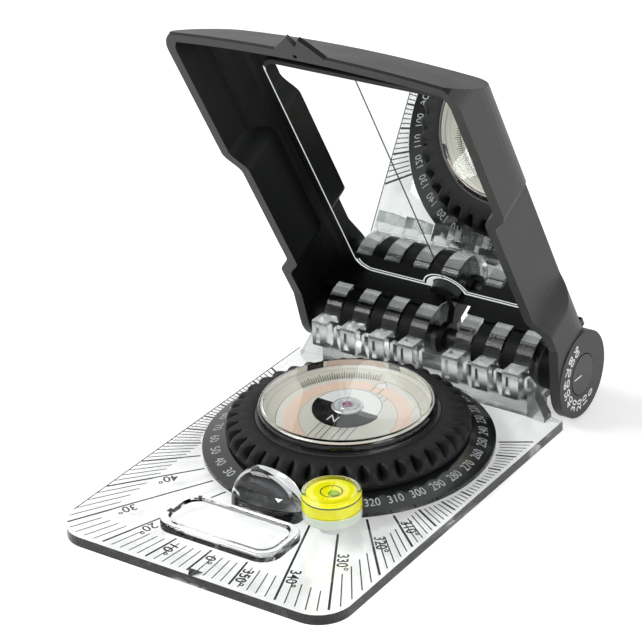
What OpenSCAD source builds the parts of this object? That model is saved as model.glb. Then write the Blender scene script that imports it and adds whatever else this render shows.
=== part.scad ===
// Pocket transit: clear base plate with a turning compass, a round level and two magnifiers,
// and a mirror lid on a knuckle hinge, drawn with the lid standing open.
// The compass axis is Z, the table is the plane Z = 0, and the hinge lies along X at the back.

/* [Base plate] */
// Width of the plate
plate_w = 81; // [79:0.5:84]
// Distance from the compass axis to the front edge
plate_front = 69; // [66:0.5:74]
// Thickness of the flat middle
plate_t = 3.7; // [3.4:0.1:4.2]
// Thickness at the sloping edges
plate_edge_t = 2.7; // [2:0.1:3.2]
// Width of the sloping band round the flat middle
plate_slope_w = 8.8; // [6:0.2:11]
// Radius of the front corners
plate_corner_r = 8.5; // [6:0.5:12]
// Skin of the plate left under the compass
plate_skin = 1.2; // [0.8:0.1:1.6]

/* [Hinge] */
// Distance from the compass axis back to the hinge axis
hinge_y = 46.5; // [46:0.5:50]
// Height of the hinge axis over the table
hinge_z = 12.3; // [12.1:0.1:14]
// Radius of the clear knuckles of the plate
drum_r = 9.6; // [9.2:0.1:9.9]
// Width of a clear knuckle
drum_w = 4.7; // [4.2:0.1:5.2]
// Pitch of the clear knuckles on each side
drum_pitch = 9; // [8.8:0.1:9.4]
// Radius of the black knuckles of the lid
knuckle_r = 9.1; // [8.4:0.1:9.2]
// Radius of the eye at the foot of the sight post
mid_knuckle_r = 4.4; // [4.2:0.1:5.4]
// Radius of the axle
axle_r = 3; // [2:0.1:3.6]
// Radius of the disc with the index line on the right end of the axle
index_disc_r = 5.4; // [4.6:0.1:6]
// Radius of the plain cap on the left end of the axle
axle_cap_r = 4.6; // [4:0.1:5.4]
// Radius of the round scale boss on the right arm
scale_boss_r = 11.7; // [11:0.1:11.8]
// Reach of the left arm below the axis
left_boss_drop = 7.8; // [7:0.1:9]

/* [Rail] */
// Top height of the clear rail in front of the knuckles
rail_z = 13.6; // [13:0.1:14.4]
// Distance from the hinge axis forward to the rail's top edge
rail_reach = 11.6; // [11.2:0.1:12.2]
// Top height of the square blocks
block_z = 16.2; // [15.6:0.1:16.6]
// Width of a square block
block_w = 4.7; // [3.8:0.1:5]
// Distance from the hinge axis forward to the blocks' front faces
block_reach = 14.9; // [13.6:0.1:15]
// Width of the sloping wedge at each end of the rail
wedge_w = 6.3; // [5:0.1:6.6]

/* [Lid] */
// Angle that the lid stands open
lid_open = 61.66; // [0:1:118]
// Length from the hinge axis to the end of the rim
lid_len = 117.2; // [114:0.2:122]
// Half the width across the lid
lid_half_w = 41; // [40:0.5:43]
// Half the width across the waist beside the grip ring
waist_half_w = 37; // [36.5:0.1:38]
// Where the waist starts, from the hinge axis
waist_from = 28.4; // [26:0.2:31]
// Where the waist ends, from the hinge axis
waist_to = 63.4; // [61:0.2:66]
// Length of the sweep at each end of the waist
waist_sweep = 6.6; // [5:0.2:9]
// Depth of the rim below the hinge axis with the lid shut
rim_depth = 5.3; // [4.6:0.1:5.6]
// Height of the lid's back over the hinge axis with the lid shut
back_h = 11.8; // [11.8:0.1:13]
// Thickness of the side walls
lid_wall = 2.6; // [2:0.1:3]
// Thickness of the back
back_t = 2.1; // [1.6:0.1:2.1]
// Radius of the front corners
lid_corner_r = 9; // [7:0.5:13]
// Radius of the bow of the front end, seen from above
lid_bow_r = 300; // [240:20:600]
// Length of the slope that closes the front end
nose_len = 16; // [14:0.2:20]
// Straight height of the front wall over the rim
nose_wall = 0.8; // [0.6:0.1:2]
// Height of the two peaks of the front sight over the end wall
sight_h = 5.1; // [4:0.1:6]

/* [Mirror] */
// Width of the mirror
mirror_w = 57; // [52:0.5:58]
// Near edge of the mirror, from the hinge axis
mirror_from = 9.7; // [9.5:0.1:10.6]
// Distance from the mirror's far edge to the slope that closes the lid
mirror_margin = 7.2; // [5:0.2:10]
// Thickness of the mirror glass
mirror_t = 1.2; // [1:0.1:1.5]
// Thickness of the backing sheet under the glass
backing_t = 0.3; // [0.2:0.05:0.4]
// Radius of the mirror's corners
mirror_corner_r = 4.6; // [3:0.2:7]
// Radius of the arched notch for the sight post
mirror_notch_r = 4.9; // [4:0.1:6]

/* [Compass] */
// Outer radius of the numbered ring
ring_r = 37.1; // [36.6:0.1:37.6]
// Height of the numbered ring's rim over the plate
ring_rim_h = 1.3; // [1:0.1:1.4]
// Rise of the numbered ring's slope
ring_rise = 1.8; // [1.4:0.1:2]
// Outer radius of the rubber grip
grip_r = 31; // [30.6:0.1:31.2]
// Height of the rubber grip
grip_h = 6.6; // [6:0.1:7]
// Number of scallops round the grip
grip_notches = 40; // [30:1:44]
// Radius of a scallop
notch_r = 1.9; // [1.4:0.1:2]
// Radius of the clear cover of the capsule
cover_r = 22.7; // [22:0.1:23]
// Height of the clear cover over its seat
cover_h = 3.4; // [3.2:0.1:4]
// Thickness of the cover's glass
cover_t = 1; // [0.8:0.1:1.2]
// Radius of the spigot that turns in the plate
spigot_r = 26.95; // [26.9:0.05:27.2]
// Radius of the orienting disc
card_r = 17.4; // [16:0.1:18]
// Radius of the needle's round card
needle_r = 8.8; // [7.6:0.1:10]
// Radius of the needle's hub
hub_r = 4; // [3:0.1:4.6]

/* [Magnifiers and level] */
// Distance from the compass axis to the level and the index magnifier
stand_r = 33.3; // [33:0.1:34]
// Length of the reading magnifier across the plate
reader_l = 34.6; // [30:0.2:38]
// Width of the reading magnifier
reader_w = 16; // [12:0.2:17]
// Height of the reading magnifier over the plate
reader_h = 2.4; // [1.6:0.1:3.2]
// Centre of the reading magnifier in front of the compass axis
reader_y = 50; // [50:0.2:53]
// Sideways shift of both magnifiers
reader_x = -1.2; // [-3:0.2:1]
// Radius of the round level
level_r = 7.5; // [6.5:0.1:7.6]
// Height of the round level over its seat
level_h = 7.5; // [6.6:0.1:8.4]
// Bearing of the level to the right of the front
level_angle = 28.1; // [26:0.5:34]
// Length of the index magnifier
dome_l = 20.6; // [18:0.2:21]
// Depth of the index magnifier
dome_w = 8.2; // [7:0.1:8.4]
// Height of the index magnifier over the ring
dome_h = 9.6; // [8:0.1:10]

/* [Hidden] */
$fn = 96;
gap = 0.35;
run_gap = 0.05;
eps = 0.01;

// Hinge layout, from the compass axis
drum_x = [-29.9, -21, -12, 10.5, 19.5, 28.6] * (drum_pitch / 9);
mid_drum_w = drum_w + 0.2;
mid_drum_x = drum_x[2] + drum_pitch - 0.1;
left_x = -drum_x[0] + drum_w / 2;
right_x = drum_x[5] + drum_w / 2;
washer_t = 0.55;
arm_in_x = lid_half_w - lid_wall;
disc_t = 1.5;
disc_x = lid_half_w - 1.1;

// Heights of the compass stack
ring_z = plate_t + 0.2;
ring_top_z = ring_z + ring_rim_h - 0.2 + ring_rise;
ring_seat_r = 30.8;
grip_z = ring_top_z;
capsule_floor_z = 10.8;
cover_z = 13;
card_z = capsule_floor_z + 0.2;
card_t = 0.6;
needle_z = 13.25;
jewel_z = 13.9;
pin_r = 0.6;
jewel_r = 1.22;
sleeve_r = 2.1;
spigot_t = 2;
groove_z = 2.1;
wire_t = 0.6;

// Mirror, its notch and the sight post
mirror_to = lid_len - nose_len - mirror_margin;
notch_x = -0.4;
notch_y = -mirror_from;
post_base_z = 6.4;
leaf_w = 1.8;
leaf_x = mid_drum_x + mid_drum_w / 2 + gap;
bar_z = 2.6;

// Seats of the level and the index magnifier, over the turning ring
over_ring_z = ring_z + ring_rim_h + 0.55;
over_ring_r = ring_r + gap;
level_base_z = over_ring_z + 1.1;
level_rad = stand_r + level_r;
level_x = level_rad * sin(level_angle);
level_y = -level_rad * cos(level_angle);
dome_y = -(stand_r + dome_w / 2);

function arc(cx, cy, r, a0, a1, n) =
    [for (i = [0:n]) [cx + r * cos(a0 + (a1 - a0) * i / n), cy + r * sin(a0 + (a1 - a0) * i / n)]];
function sweep(x0, x1, y0, y1, n) =
    [for (i = [0:n]) [x0 + (x1 - x0) * (1 - cos(180 * i / n)) / 2, y0 + (y1 - y0) * i / n]];
function mirrored(pts) = [for (i = [len(pts) - 1:-1:0]) [-pts[i][0], pts[i][1]]];

module along_x(x0, x1) {
    // Draws an outline of Y and Z and carries it from x0 to x1
    translate([x0, 0, 0])
        rotate([90, 0, 90])
            linear_extrude(height = x1 - x0)
                children();
}

module along_y(y0, y1) {
    // Draws an outline of X and Z and carries it from y0 to y1
    translate([0, y1, 0])
        rotate([90, 0, 0])
            linear_extrude(height = y1 - y0)
                children();
}

module rod_x(x0, x1, r) {
    // Round bar along X
    translate([x0, 0, 0])
        rotate([0, 90, 0])
            cylinder(r = r, h = x1 - x0);
}

module at_hinge(angle) {
    translate([0, hinge_y, hinge_z])
        rotate([-angle, 0, 0])
            children();
}

module rounded_rect(w, l, r) {
    union() {
        square([w - 2 * r, l], center = true);
        square([w, l - 2 * r], center = true);
        for (sx = [-1, 1])
            for (sy = [-1, 1])
                translate([sx * (w / 2 - r), sy * (l / 2 - r)])
                    circle(r = r, $fn = 48);
    }
}

module plate_outline(inset, rear) {
    // Plate seen from above, drawn in by inset at the front and the sides
    hw = plate_w / 2 - inset;
    front = plate_front - inset;
    r = plate_corner_r - inset * 0.4;
    right = concat([[hw, rear]], arc(hw - r, -front + r, r, 0, -90, 10));
    polygon(concat(right, mirrored(right)));
}

module plate_slab() {
    // Flat middle that slopes down to the front and side edges
    rear = hinge_y - 8.9;
    union() {
        linear_extrude(height = plate_edge_t)
            plate_outline(0, rear);
        hull() {
            translate([0, 0, plate_edge_t - eps])
                linear_extrude(height = eps)
                    plate_outline(0, rear);
            translate([0, 0, plate_t - eps])
                linear_extrude(height = eps)
                    plate_outline(plate_slope_w, rear);
        }
    }
}

module hinge_block() {
    // Rail, under-plate and clear knuckles, in one moulding with the plate
    rail_front = hinge_y - rail_reach - 1.2;
    difference() {
        union() {
            along_x(-left_x, right_x)
                polygon([[rail_front - 4, 0], [hinge_y, 0], [hinge_y, plate_t - 1], [hinge_y - 6, rail_z - 6],
                    [hinge_y - rail_reach + 1.8, rail_z], [hinge_y - rail_reach, rail_z],
                    [rail_front, plate_t], [rail_front - 4, plate_t]]);
            rail_wedge(rail_front, right_x);
            mirror([1, 0, 0])
                rail_wedge(rail_front, left_x);
        }
        translate([0, hinge_y, hinge_z])
            rod_x(-left_x - 1, right_x + 1, knuckle_r + gap);
    }
    for (x = drum_x) {
        knuckle_with_block(x, drum_w);
    }
    knuckle_with_block(mid_drum_x, mid_drum_w);
}

module rail_wedge(rail_front, from_x) {
    // Clear wedge that runs down from the rail's end towards the arm of the lid
    to_x = min(from_x + wedge_w, arm_in_x - gap);
    intersection() {
        along_x(from_x - 1, to_x)
            polygon([[rail_front, 0], [hinge_y - 9, 0], [hinge_y - 9, rail_z - 3],
                [hinge_y - rail_reach + 1.8, rail_z], [hinge_y - rail_reach, rail_z], [rail_front, plate_t]]);
        along_y(rail_front - 1, hinge_y)
            polygon([[from_x - 1, 0], [to_x, 0], [to_x, plate_t + 0.6], [from_x + 0.8, rail_z],
                [from_x - 1, rail_z]]);
    }
}

module knuckle_with_block(x, w) {
    // Clear knuckle with the square block that braces it on the rail
    front = hinge_y - block_reach;
    back = hinge_y - mirror_from - 0.1;
    inside = hinge_y - drum_r + 4;
    translate([0, hinge_y, hinge_z])
        rod_x(x - w / 2, x + w / 2, drum_r);
    along_x(x - block_w / 2, x + block_w / 2)
        polygon([[front, rail_z - 4.6], [front, block_z], [back, block_z], [back, hinge_z + 2],
            [inside, hinge_z + 2], [inside, rail_z - 5]]);
    along_x(x - w / 2, x + w / 2)
        polygon([[hinge_y - drum_r - 0.6, 0], [hinge_y - 3, 0], [hinge_y - 3, hinge_z],
            [hinge_y - drum_r - 0.6, hinge_z]]);
}

module ring_pocket() {
    // Room for the turning ring and grip in what reaches over them
    rotate_extrude($fn = 128)
        polygon([[0, plate_t], [over_ring_r, plate_t], [over_ring_r, ring_z + ring_rim_h + gap],
            [grip_r + gap, ring_top_z + gap], [grip_r + gap, rail_z + 4], [0, rail_z + 4]]);
}

module base_plate() {
    color([0.86, 0.89, 0.88, 0.5])
        difference() {
            union() {
                plate_slab();
                hinge_block();
            }
            ring_pocket();
            translate([0, 0, plate_skin])
                cylinder(r = spigot_r + run_gap, h = plate_t);
            translate([0, 0, groove_z + run_gap])
                cylinder(r = spigot_r + 0.75, h = wire_t + 0.2);
            translate([0, hinge_y, hinge_z])
                rod_x(-left_x - 1, right_x + 1, axle_r + 0.02);
        }
}

module reading_magnifier() {
    // Long clear magnifier with a crowned top over the printed scale
    crown_r = (reader_w * reader_w / 4 + reader_h * reader_h / 4) / reader_h;
    color([0.93, 0.95, 0.95, 0.5])
        intersection() {
            translate([reader_x, -reader_y, plate_t])
                linear_extrude(height = reader_h)
                    rounded_rect(reader_l, reader_w, 4.6);
            translate([0, -reader_y, plate_t + reader_h - crown_r])
                rod_x(-reader_l, reader_l, crown_r);
        }
}

module index_magnifier() {
    // Tall rounded lens that stands on the plate and reaches over the ring at the index
    half = dome_l / 2;
    base_z = plate_t;
    top_z = over_ring_z + dome_h;
    color([0.93, 0.95, 0.95, 0.5])
        difference() {
            intersection() {
                along_y(dome_y - dome_w / 2, dome_y + dome_w / 2)
                    polygon(concat([[reader_x - half, base_z], [reader_x + half, base_z]],
                        arc(reader_x, over_ring_z, half, 0, 180, 20)));
                along_x(reader_x - half, reader_x + half)
                    polygon(concat([[dome_y - dome_w / 2, base_z], [dome_y + dome_w / 2, base_z]],
                        arc(dome_y, top_z - dome_w / 2, dome_w / 2, 0, 180, 16)));
            }
            ring_pocket();
        }
}

module level_seat() {
    // Pale clear foot of the level, cut away over the turning ring
    color([0.86, 0.9, 0.8, 0.6])
        difference() {
            translate([level_x, level_y, plate_t])
                cylinder(r = level_r, h = level_base_z - plate_t);
            ring_pocket();
        }
}

module level_vial() {
    // Clear body with a dished roof that brings the bubble to the middle
    base = level_base_z;
    top = over_ring_z + level_h;
    color([0.92, 0.95, 0.9, 0.5])
        translate([level_x, level_y, base])
            rotate_extrude($fn = 64)
                polygon([[0, top - base - 1.3], [level_r - 1.4, top - base - 1.7], [level_r - 1.4, 0],
                    [level_r, 0], [level_r, top - base - 0.3], [level_r - 0.3, top - base], [0, top - base]]);
}

module level_fluid() {
    base = level_base_z;
    top = over_ring_z + level_h;
    color([0.9, 0.93, 0])
        translate([level_x, level_y, base])
            rotate_extrude($fn = 64)
                polygon([[0, 0.05], [level_r - 1.5, 0.05], [level_r - 1.5, top - base - 1.85],
                    [0, top - base - 1.45]]);
}

module snap_ring() {
    // Split wire ring that holds the spigot in the plate
    color("dimgray")
        translate([0, 0, groove_z + 0.15])
            difference() {
                cylinder(r = spigot_r + 0.65, h = wire_t);
                translate([0, 0, -eps])
                    cylinder(r = spigot_r - 0.6, h = wire_t + 2 * eps);
                translate([0, -spigot_r - 2, -eps])
                    cube([4, 4, 2]);
            }
}

module hinge_axle() {
    color([0.12, 0.12, 0.13])
        at_hinge(0)
            rod_x(-disc_x + 0.1, disc_x, axle_r);
}

module index_disc() {
    // Disc that stays still beside the turning scale
    color([0.3, 0.3, 0.31])
        at_hinge(0)
            rod_x(disc_x, disc_x + disc_t, index_disc_r);
}

module axle_cap() {
    color([0.3, 0.3, 0.31])
        at_hinge(0)
            rod_x(-disc_x - 1, -disc_x + 0.1, axle_cap_r);
}

module friction_washers() {
    color("dimgray")
        at_hinge(0)
            for (x = [right_x + 0.05, -left_x - 0.05 - washer_t])
                difference() {
                    rod_x(x, x + washer_t, axle_r + 2.8);
                    rod_x(x - 1, x + washer_t + 1, axle_r + 0.02);
                }
}

module numbered_ring() {
    // Black ring with the degree numbers, its spigot and the groove for the snap ring
    inner_r = spigot_r - spigot_t;
    foot_z = plate_skin + 0.2;
    groove_top = groove_z + wire_t + 0.3;
    color([0.08, 0.08, 0.09])
        rotate_extrude($fn = 128)
            polygon([[inner_r, foot_z], [spigot_r, foot_z], [spigot_r, groove_z], [spigot_r - 0.7, groove_z],
                [spigot_r - 0.7, groove_top], [spigot_r, groove_top], [spigot_r, ring_z], [ring_r, ring_z],
                [ring_r, plate_t + ring_rim_h], [ring_seat_r, ring_top_z], [inner_r, ring_top_z]]);
}

module grip_ring() {
    // Rubber grip with scallops cut round its upper shoulder
    inner_r = cover_r + 0.75;
    top = grip_z + grip_h;
    color([0.17, 0.17, 0.17])
        difference() {
            rotate_extrude($fn = 128)
                polygon(concat([[inner_r, grip_z], [grip_r - 1.3, grip_z], [grip_r, grip_z + 1.8]],
                    arc(grip_r - 2.6, grip_z + 3.3, 2.6, 0, 72, 8),
                    [[inner_r + 1.1, top - 0.2], [inner_r, top - 0.5]]));
            for (i = [0:grip_notches - 1])
                rotate([0, 0, (i + 0.5) * 360 / grip_notches])
                    translate([grip_r + 0.8, 0, grip_z + 4.4])
                        rotate([0, -28, 0])
                            cylinder(r = notch_r, h = 7.4, center = true, $fn = 16);
        }
}

module capsule_base() {
    // Pale floor of the capsule on a skirt that sits in the numbered ring
    floor_t = 2;
    skirt_r = spigot_r - spigot_t - 0.1;
    skirt_in_r = skirt_r - floor_t;
    wall_r = cover_r + 0.65;
    pin_hole_r = pin_r + 0.02;
    color([0.83, 0.82, 0.77])
        rotate_extrude($fn = 128)
            polygon([[pin_hole_r, capsule_floor_z - floor_t], [skirt_in_r, capsule_floor_z - floor_t],
                [skirt_in_r, plate_skin + 0.2], [skirt_r, plate_skin + 0.2], [skirt_r, ring_top_z - 0.1],
                [wall_r, ring_top_z - 0.1], [wall_r, cover_z - 0.05], [cover_r - 1.4, cover_z - 0.05],
                [cover_r - 1.4, capsule_floor_z], [pin_hole_r, capsule_floor_z]]);
}

module capsule_cover() {
    color([0.9, 0.92, 0.93, 0.4])
        translate([0, 0, cover_z])
            rotate_extrude($fn = 128)
                polygon([[0, cover_h - cover_t], [cover_r - 1.4, cover_h - cover_t], [cover_r - 1.4, 0],
                    [cover_r, 0], [cover_r, cover_h - 0.7], [cover_r - 0.7, cover_h], [0, cover_h]]);
}

module scale_ring() {
    // Sloping graduated ring between the orienting disc and the wall
    inner_r = card_r + 0.2;
    outer_r = cover_r - 1.5;
    color([0.8, 0.8, 0.75])
        rotate_extrude($fn = 128)
            polygon([[inner_r, capsule_floor_z + 0.05], [outer_r, capsule_floor_z + 0.05],
                [outer_r, cover_z + 0.3], [inner_r, capsule_floor_z + 0.8]]);
}

module pivot_pin() {
    color("silver") {
        translate([0, 0, capsule_floor_z - 2])
            cylinder(r = pin_r, h = jewel_z - 1.1 - capsule_floor_z + 2, $fn = 32);
        translate([0, 0, jewel_z - 1.1])
            cylinder(r1 = pin_r, r2 = 0.1, h = 1.05, $fn = 32);
    }
}

module orienting_disc() {
    // Disc under the needle that is turned to set the declination
    color([0.88, 0.76, 0.7])
        translate([0, 0, card_z])
            difference() {
                cylinder(r = card_r, h = card_t);
                translate([0, 0, -eps])
                    cylinder(r = pin_r + run_gap, h = card_t + 2 * eps, $fn = 32);
            }
}

module needle_card() {
    color([0.9, 0.9, 0.9])
        translate([0, 0, needle_z])
            difference() {
                cylinder(r = needle_r, h = 0.35);
                translate([0, 0, -eps])
                    cylinder(r = sleeve_r + 0.02, h = 0.35 + 2 * eps, $fn = 48);
            }
}

module needle_magnet() {
    // Flat ring magnet bonded under the card
    color("gray")
        translate([0, 0, needle_z - 0.55])
            difference() {
                cylinder(r = needle_r - 3, h = 0.5);
                translate([0, 0, -eps])
                    cylinder(r = sleeve_r + 0.02, h = 0.5 + 2 * eps, $fn = 48);
            }
}

module needle_hub() {
    // Flanged hub that carries the card and holds the jewel over the pin
    bore_r = jewel_r + 0.03;
    color([0.78, 0.8, 0.82])
        rotate_extrude($fn = 64)
            polygon([[bore_r, needle_z - 0.55], [sleeve_r, needle_z - 0.55], [sleeve_r, needle_z + 0.37],
                [hub_r, needle_z + 0.37], [hub_r, needle_z + 0.6], [hub_r - 0.5, needle_z + 0.95],
                [bore_r, needle_z + 0.95]]);
}

module hub_jewel() {
    color([0.45, 0.02, 0.3])
        translate([0, 0, jewel_z])
            cylinder(r = jewel_r, h = 0.55, $fn = 48);
}

module lid_plan(inset) {
    // Lid seen from above with the front towards -Y, drawn in by inset
    wide = lid_half_w - inset;
    slim = waist_half_w - inset;
    front = lid_len - inset;
    r = lid_corner_r - inset;
    lean = inset * 0.5;
    right = concat([[wide, 0]],
        sweep(wide, slim, -(waist_from - waist_sweep) + lean, -waist_from + lean, 8),
        sweep(slim, wide, -waist_to - lean, -(waist_to + waist_sweep) - lean, 8),
        arc(wide - r, -front + r, r, 0, -90, 10));
    polygon(concat(right, mirrored(right)));
}

module lid_section(inset) {
    // Lid seen from the front, with the long edges of the back rounded off
    half = lid_half_w - inset;
    top = inset == 0 ? back_h : back_h - back_t;
    shoulder_w = lid_half_w * 0.195;
    shoulder_h = back_h * 0.75;
    right = concat([[half, -rim_depth - 1]],
        [for (i = [0:8]) [half - shoulder_w + shoulder_w * cos(i * 90 / 8),
            top - shoulder_h + shoulder_h * sin(i * 90 / 8)]]);
    polygon(concat(right, mirrored(right)));
}

module lid_nose(inset) {
    // Slightly bowed front end, with the slope that closes it towards the back
    slope_h = back_h + rim_depth - nose_wall;
    slope_l = sqrt(nose_len * nose_len + slope_h * slope_h);
    wall_in = inset * (slope_l - slope_h) / nose_len;
    top = inset == 0 ? back_h : back_h - back_t;
    back_in = inset * slope_l / slope_h - (back_h - top) * nose_len / slope_h;
    wall_r = lid_bow_r - inset;
    translate([0, lid_bow_r - lid_len, 0])
        rotate_extrude($fn = 720)
            polygon([[0, -rim_depth - 1], [wall_r, -rim_depth - 1],
                [wall_r, -rim_depth + nose_wall + (inset == 0 ? 0 : -wall_in + 0.4)],
                [lid_bow_r - nose_len - back_in, top], [0, top]]);
}

module lid_tray() {
    // Outer form of the lid less its hollow, up to the hinge axis
    difference() {
        intersection() {
            translate([0, 0, -rim_depth])
                linear_extrude(height = back_h + rim_depth)
                    lid_plan(0);
            along_y(-lid_len - 1, 1)
                lid_section(0);
            lid_nose(0);
        }
        intersection() {
            translate([0, 0, -rim_depth - 1])
                linear_extrude(height = back_h + rim_depth)
                    lid_plan(lid_wall);
            along_y(-lid_len, 2)
                lid_section(lid_wall);
            lid_nose(lid_wall);
        }
    }
}

module front_sight() {
    // Two peaks with a V between them on the end of the lid
    translate([0, 0, -rim_depth])
        linear_extrude(height = 1.2)
            polygon([[-8, -lid_len + 1.5], [-6.8, -lid_len], [-3.7, -lid_len - sight_h + 2], [-1.5, -lid_len - sight_h],
                [0.15, -lid_len - 2.4], [1.8, -lid_len - sight_h], [4, -lid_len - sight_h + 2], [7.1, -lid_len],
                [8.3, -lid_len + 1.5]]);
}

module arm_ends() {
    // Scale boss of the right arm, plain boss of the left arm, and the flares that lead to them
    left_r = (back_h + left_boss_drop) / 2;
    rod_x(arm_in_x, lid_half_w + 0.3, scale_boss_r);
    along_x(arm_in_x, lid_half_w)
        polygon([[-16, -rim_depth], [-3.6, -scale_boss_r + 0.6], [2, 0], [-16, 0]]);
    translate([0, 0, back_h - left_r])
        rod_x(-lid_half_w, -arm_in_x, left_r);
    along_x(-lid_half_w, -arm_in_x)
        polygon([[-12, -rim_depth], [-2.6, -left_boss_drop + 0.3], [2, 0], [-12, 0]]);
}

module lid_knuckles() {
    // Black knuckles between the clear ones, each with a web to the back of the lid
    mid_from = mid_drum_x - mid_drum_w / 2;
    for (i = [0, 1, 3, 4])
        black_knuckle(drum_x[i] + drum_w / 2, drum_x[i + 1] - drum_w / 2);
    black_knuckle(drum_x[2] + drum_w / 2, mid_from);
    webbed_knuckle(leaf_x, leaf_x + leaf_w, mid_knuckle_r, -mid_knuckle_r - 1.1);
    rod_x(-arm_in_x - eps, -left_x - washer_t - 0.1, axle_r + 3);
    rod_x(right_x + washer_t + 0.1, arm_in_x + eps, axle_r + 3);
}

module black_knuckle(from_x, to_x) {
    // Black knuckle with running room between two clear ones
    webbed_knuckle(from_x + gap, to_x - gap, knuckle_r, -mirror_from + gap);
}

module hinge_bar() {
    // Black bar across the lid between the mirror and the clear knuckles, raised over the window
    front = -mirror_from + gap;
    window_to = drum_x[3] - drum_w / 2 - gap;
    for (span = [[-arm_in_x - eps, leaf_x - gap], [window_to, arm_in_x + eps]])
        along_x(span[0], span[1])
            polygon([[front, bar_z], [front, back_h - 1], [front + 2.6, back_h - 1], [front + 2.6, bar_z]]);
    along_x(leaf_x + leaf_w + gap, window_to + eps)
        polygon([[front, bar_z + 3.2], [front, back_h - 1], [-3, back_h - 1], [-3, back_h - back_t - 0.1]]);
}

module webbed_knuckle(from_x, to_x, r, web_y) {
    rod_x(from_x, to_x, r);
    along_x(from_x, to_x)
        polygon([[-r + 2, 3], [web_y, post_base_z], [web_y, back_h - 1], [-0.5, back_h - 1], [-0.5, 3]]);
}

module drum_pockets() {
    // Room for the clear knuckles in the lid
    for (x = drum_x)
        rod_x(x - drum_w / 2 - gap, x + drum_w / 2 + gap, drum_r + 0.3);
    rod_x(mid_drum_x - mid_drum_w / 2 - gap, mid_drum_x + mid_drum_w / 2 + gap, drum_r + 0.3);
}

module lid_shell() {
    window_x = leaf_x + leaf_w;
    window_w = drum_x[3] - drum_w / 2 - gap - window_x;
    color([0.2, 0.2, 0.2])
        at_hinge(lid_open)
            difference() {
                union() {
                    intersection() {
                        lid_tray();
                        translate([-60, -200, -50])
                            cube([120, 199.5, 100]);
                    }
                    front_sight();
                    arm_ends();
                    lid_knuckles();
                    hinge_bar();
                }
                drum_pockets();
                translate([window_x, -3, 4])
                    cube([window_w, 20, 20]);
                rod_x(-lid_half_w - 1, lid_half_w + 1, axle_r + run_gap);
                rod_x(disc_x - 0.1, lid_half_w + 1, index_disc_r + 0.25);
                rod_x(-lid_half_w - 1, -disc_x + 0.2, axle_cap_r + 0.25);
                translate([-1.2, -lid_len + 1.2, -rim_depth - eps])
                    cylinder(r = 0.6, h = 2.2, $fn = 24);
            }
}

module sight_post() {
    // Leaf that fills the notch of the mirror and runs down to the middle knuckle
    foot = back_h - back_t;
    clear_y = -drum_r - 0.6;
    leg_y = -mid_knuckle_r - 1.4;
    color([0.1, 0.1, 0.1])
        at_hinge(lid_open)
            translate([0, 0, post_base_z])
                linear_extrude(height = foot - post_base_z)
                    polygon(concat([[leaf_x, leg_y], [leaf_x, clear_y], [-4.2, clear_y]],
                        arc(notch_x, notch_y, mirror_notch_r - 0.5, 195, 350, 14),
                        [[leaf_x + leaf_w, clear_y], [leaf_x + leaf_w, leg_y]]));
}

module mirror_plan(inset) {
    mid = (mirror_from + mirror_to) / 2;
    difference() {
        translate([0, -mid])
            rounded_rect(mirror_w - 2 * inset, mirror_to - mirror_from - 2 * inset, mirror_corner_r - inset);
        translate([notch_x, notch_y])
            circle(r = mirror_notch_r + inset, $fn = 64);
        translate([notch_x - mirror_notch_r - inset, notch_y])
            square([2 * mirror_notch_r + 2 * inset, mirror_from]);
    }
}

module mirror_glass() {
    color([0.8, 0.85, 0.88])
        at_hinge(lid_open)
            translate([0, 0, back_h - back_t - backing_t - mirror_t])
                linear_extrude(height = mirror_t)
                    mirror_plan(0);
}

module mirror_backing() {
    color("dimgray")
        at_hinge(lid_open)
            translate([0, 0, back_h - back_t - backing_t])
                linear_extrude(height = backing_t)
                    mirror_plan(1);
}

base_plate();
reading_magnifier();
index_magnifier();
level_seat();
level_vial();
level_fluid();
snap_ring();
hinge_axle();
index_disc();
axle_cap();
friction_washers();
numbered_ring();
grip_ring();
capsule_base();
capsule_cover();
scale_ring();
pivot_pin();
orienting_disc();
needle_card();
needle_magnet();
needle_hub();
hub_jewel();
lid_shell();
sight_post();
mirror_glass();
mirror_backing();
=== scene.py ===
# %% [markdown]
# # A pocket transit in Blender
# A pocket transit is a sighting compass with a mirror in its lid and a clinometer scale on its
# arm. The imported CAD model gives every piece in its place. This lesson gives the pieces their
# real finishes, and makes again those whose shape matters most to the eye. It starts by
# loading the CAD model as a frame that nothing here may move.

# %% Load the frame
import math
import bmesh
import bpy
from mathutils import Matrix, Vector


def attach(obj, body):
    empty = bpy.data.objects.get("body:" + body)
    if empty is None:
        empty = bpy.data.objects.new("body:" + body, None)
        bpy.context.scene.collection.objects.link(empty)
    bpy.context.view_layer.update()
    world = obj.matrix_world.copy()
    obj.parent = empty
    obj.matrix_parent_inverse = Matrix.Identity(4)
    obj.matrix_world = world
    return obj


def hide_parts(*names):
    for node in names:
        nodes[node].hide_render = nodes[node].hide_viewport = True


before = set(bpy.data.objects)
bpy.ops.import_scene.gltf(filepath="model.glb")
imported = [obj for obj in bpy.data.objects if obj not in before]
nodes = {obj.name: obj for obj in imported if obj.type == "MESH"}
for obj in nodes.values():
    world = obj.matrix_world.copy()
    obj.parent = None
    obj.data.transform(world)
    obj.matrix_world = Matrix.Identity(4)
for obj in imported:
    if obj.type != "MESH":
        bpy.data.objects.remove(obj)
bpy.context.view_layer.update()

MM = 0.001
HINGE = Vector((0, 46.5, 12.3))  # middle of the hinge axle, in mm
scene = bpy.context.scene

# %% [markdown]
# ## The camera
# The photograph looks from the front right and a little from above. The camera's place came
# from matching points of the plate, the ring and the lid with their pixels. A long lens, far
# away, gives the same slight perspective. The roll is small but shows in the plate's edges.

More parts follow.
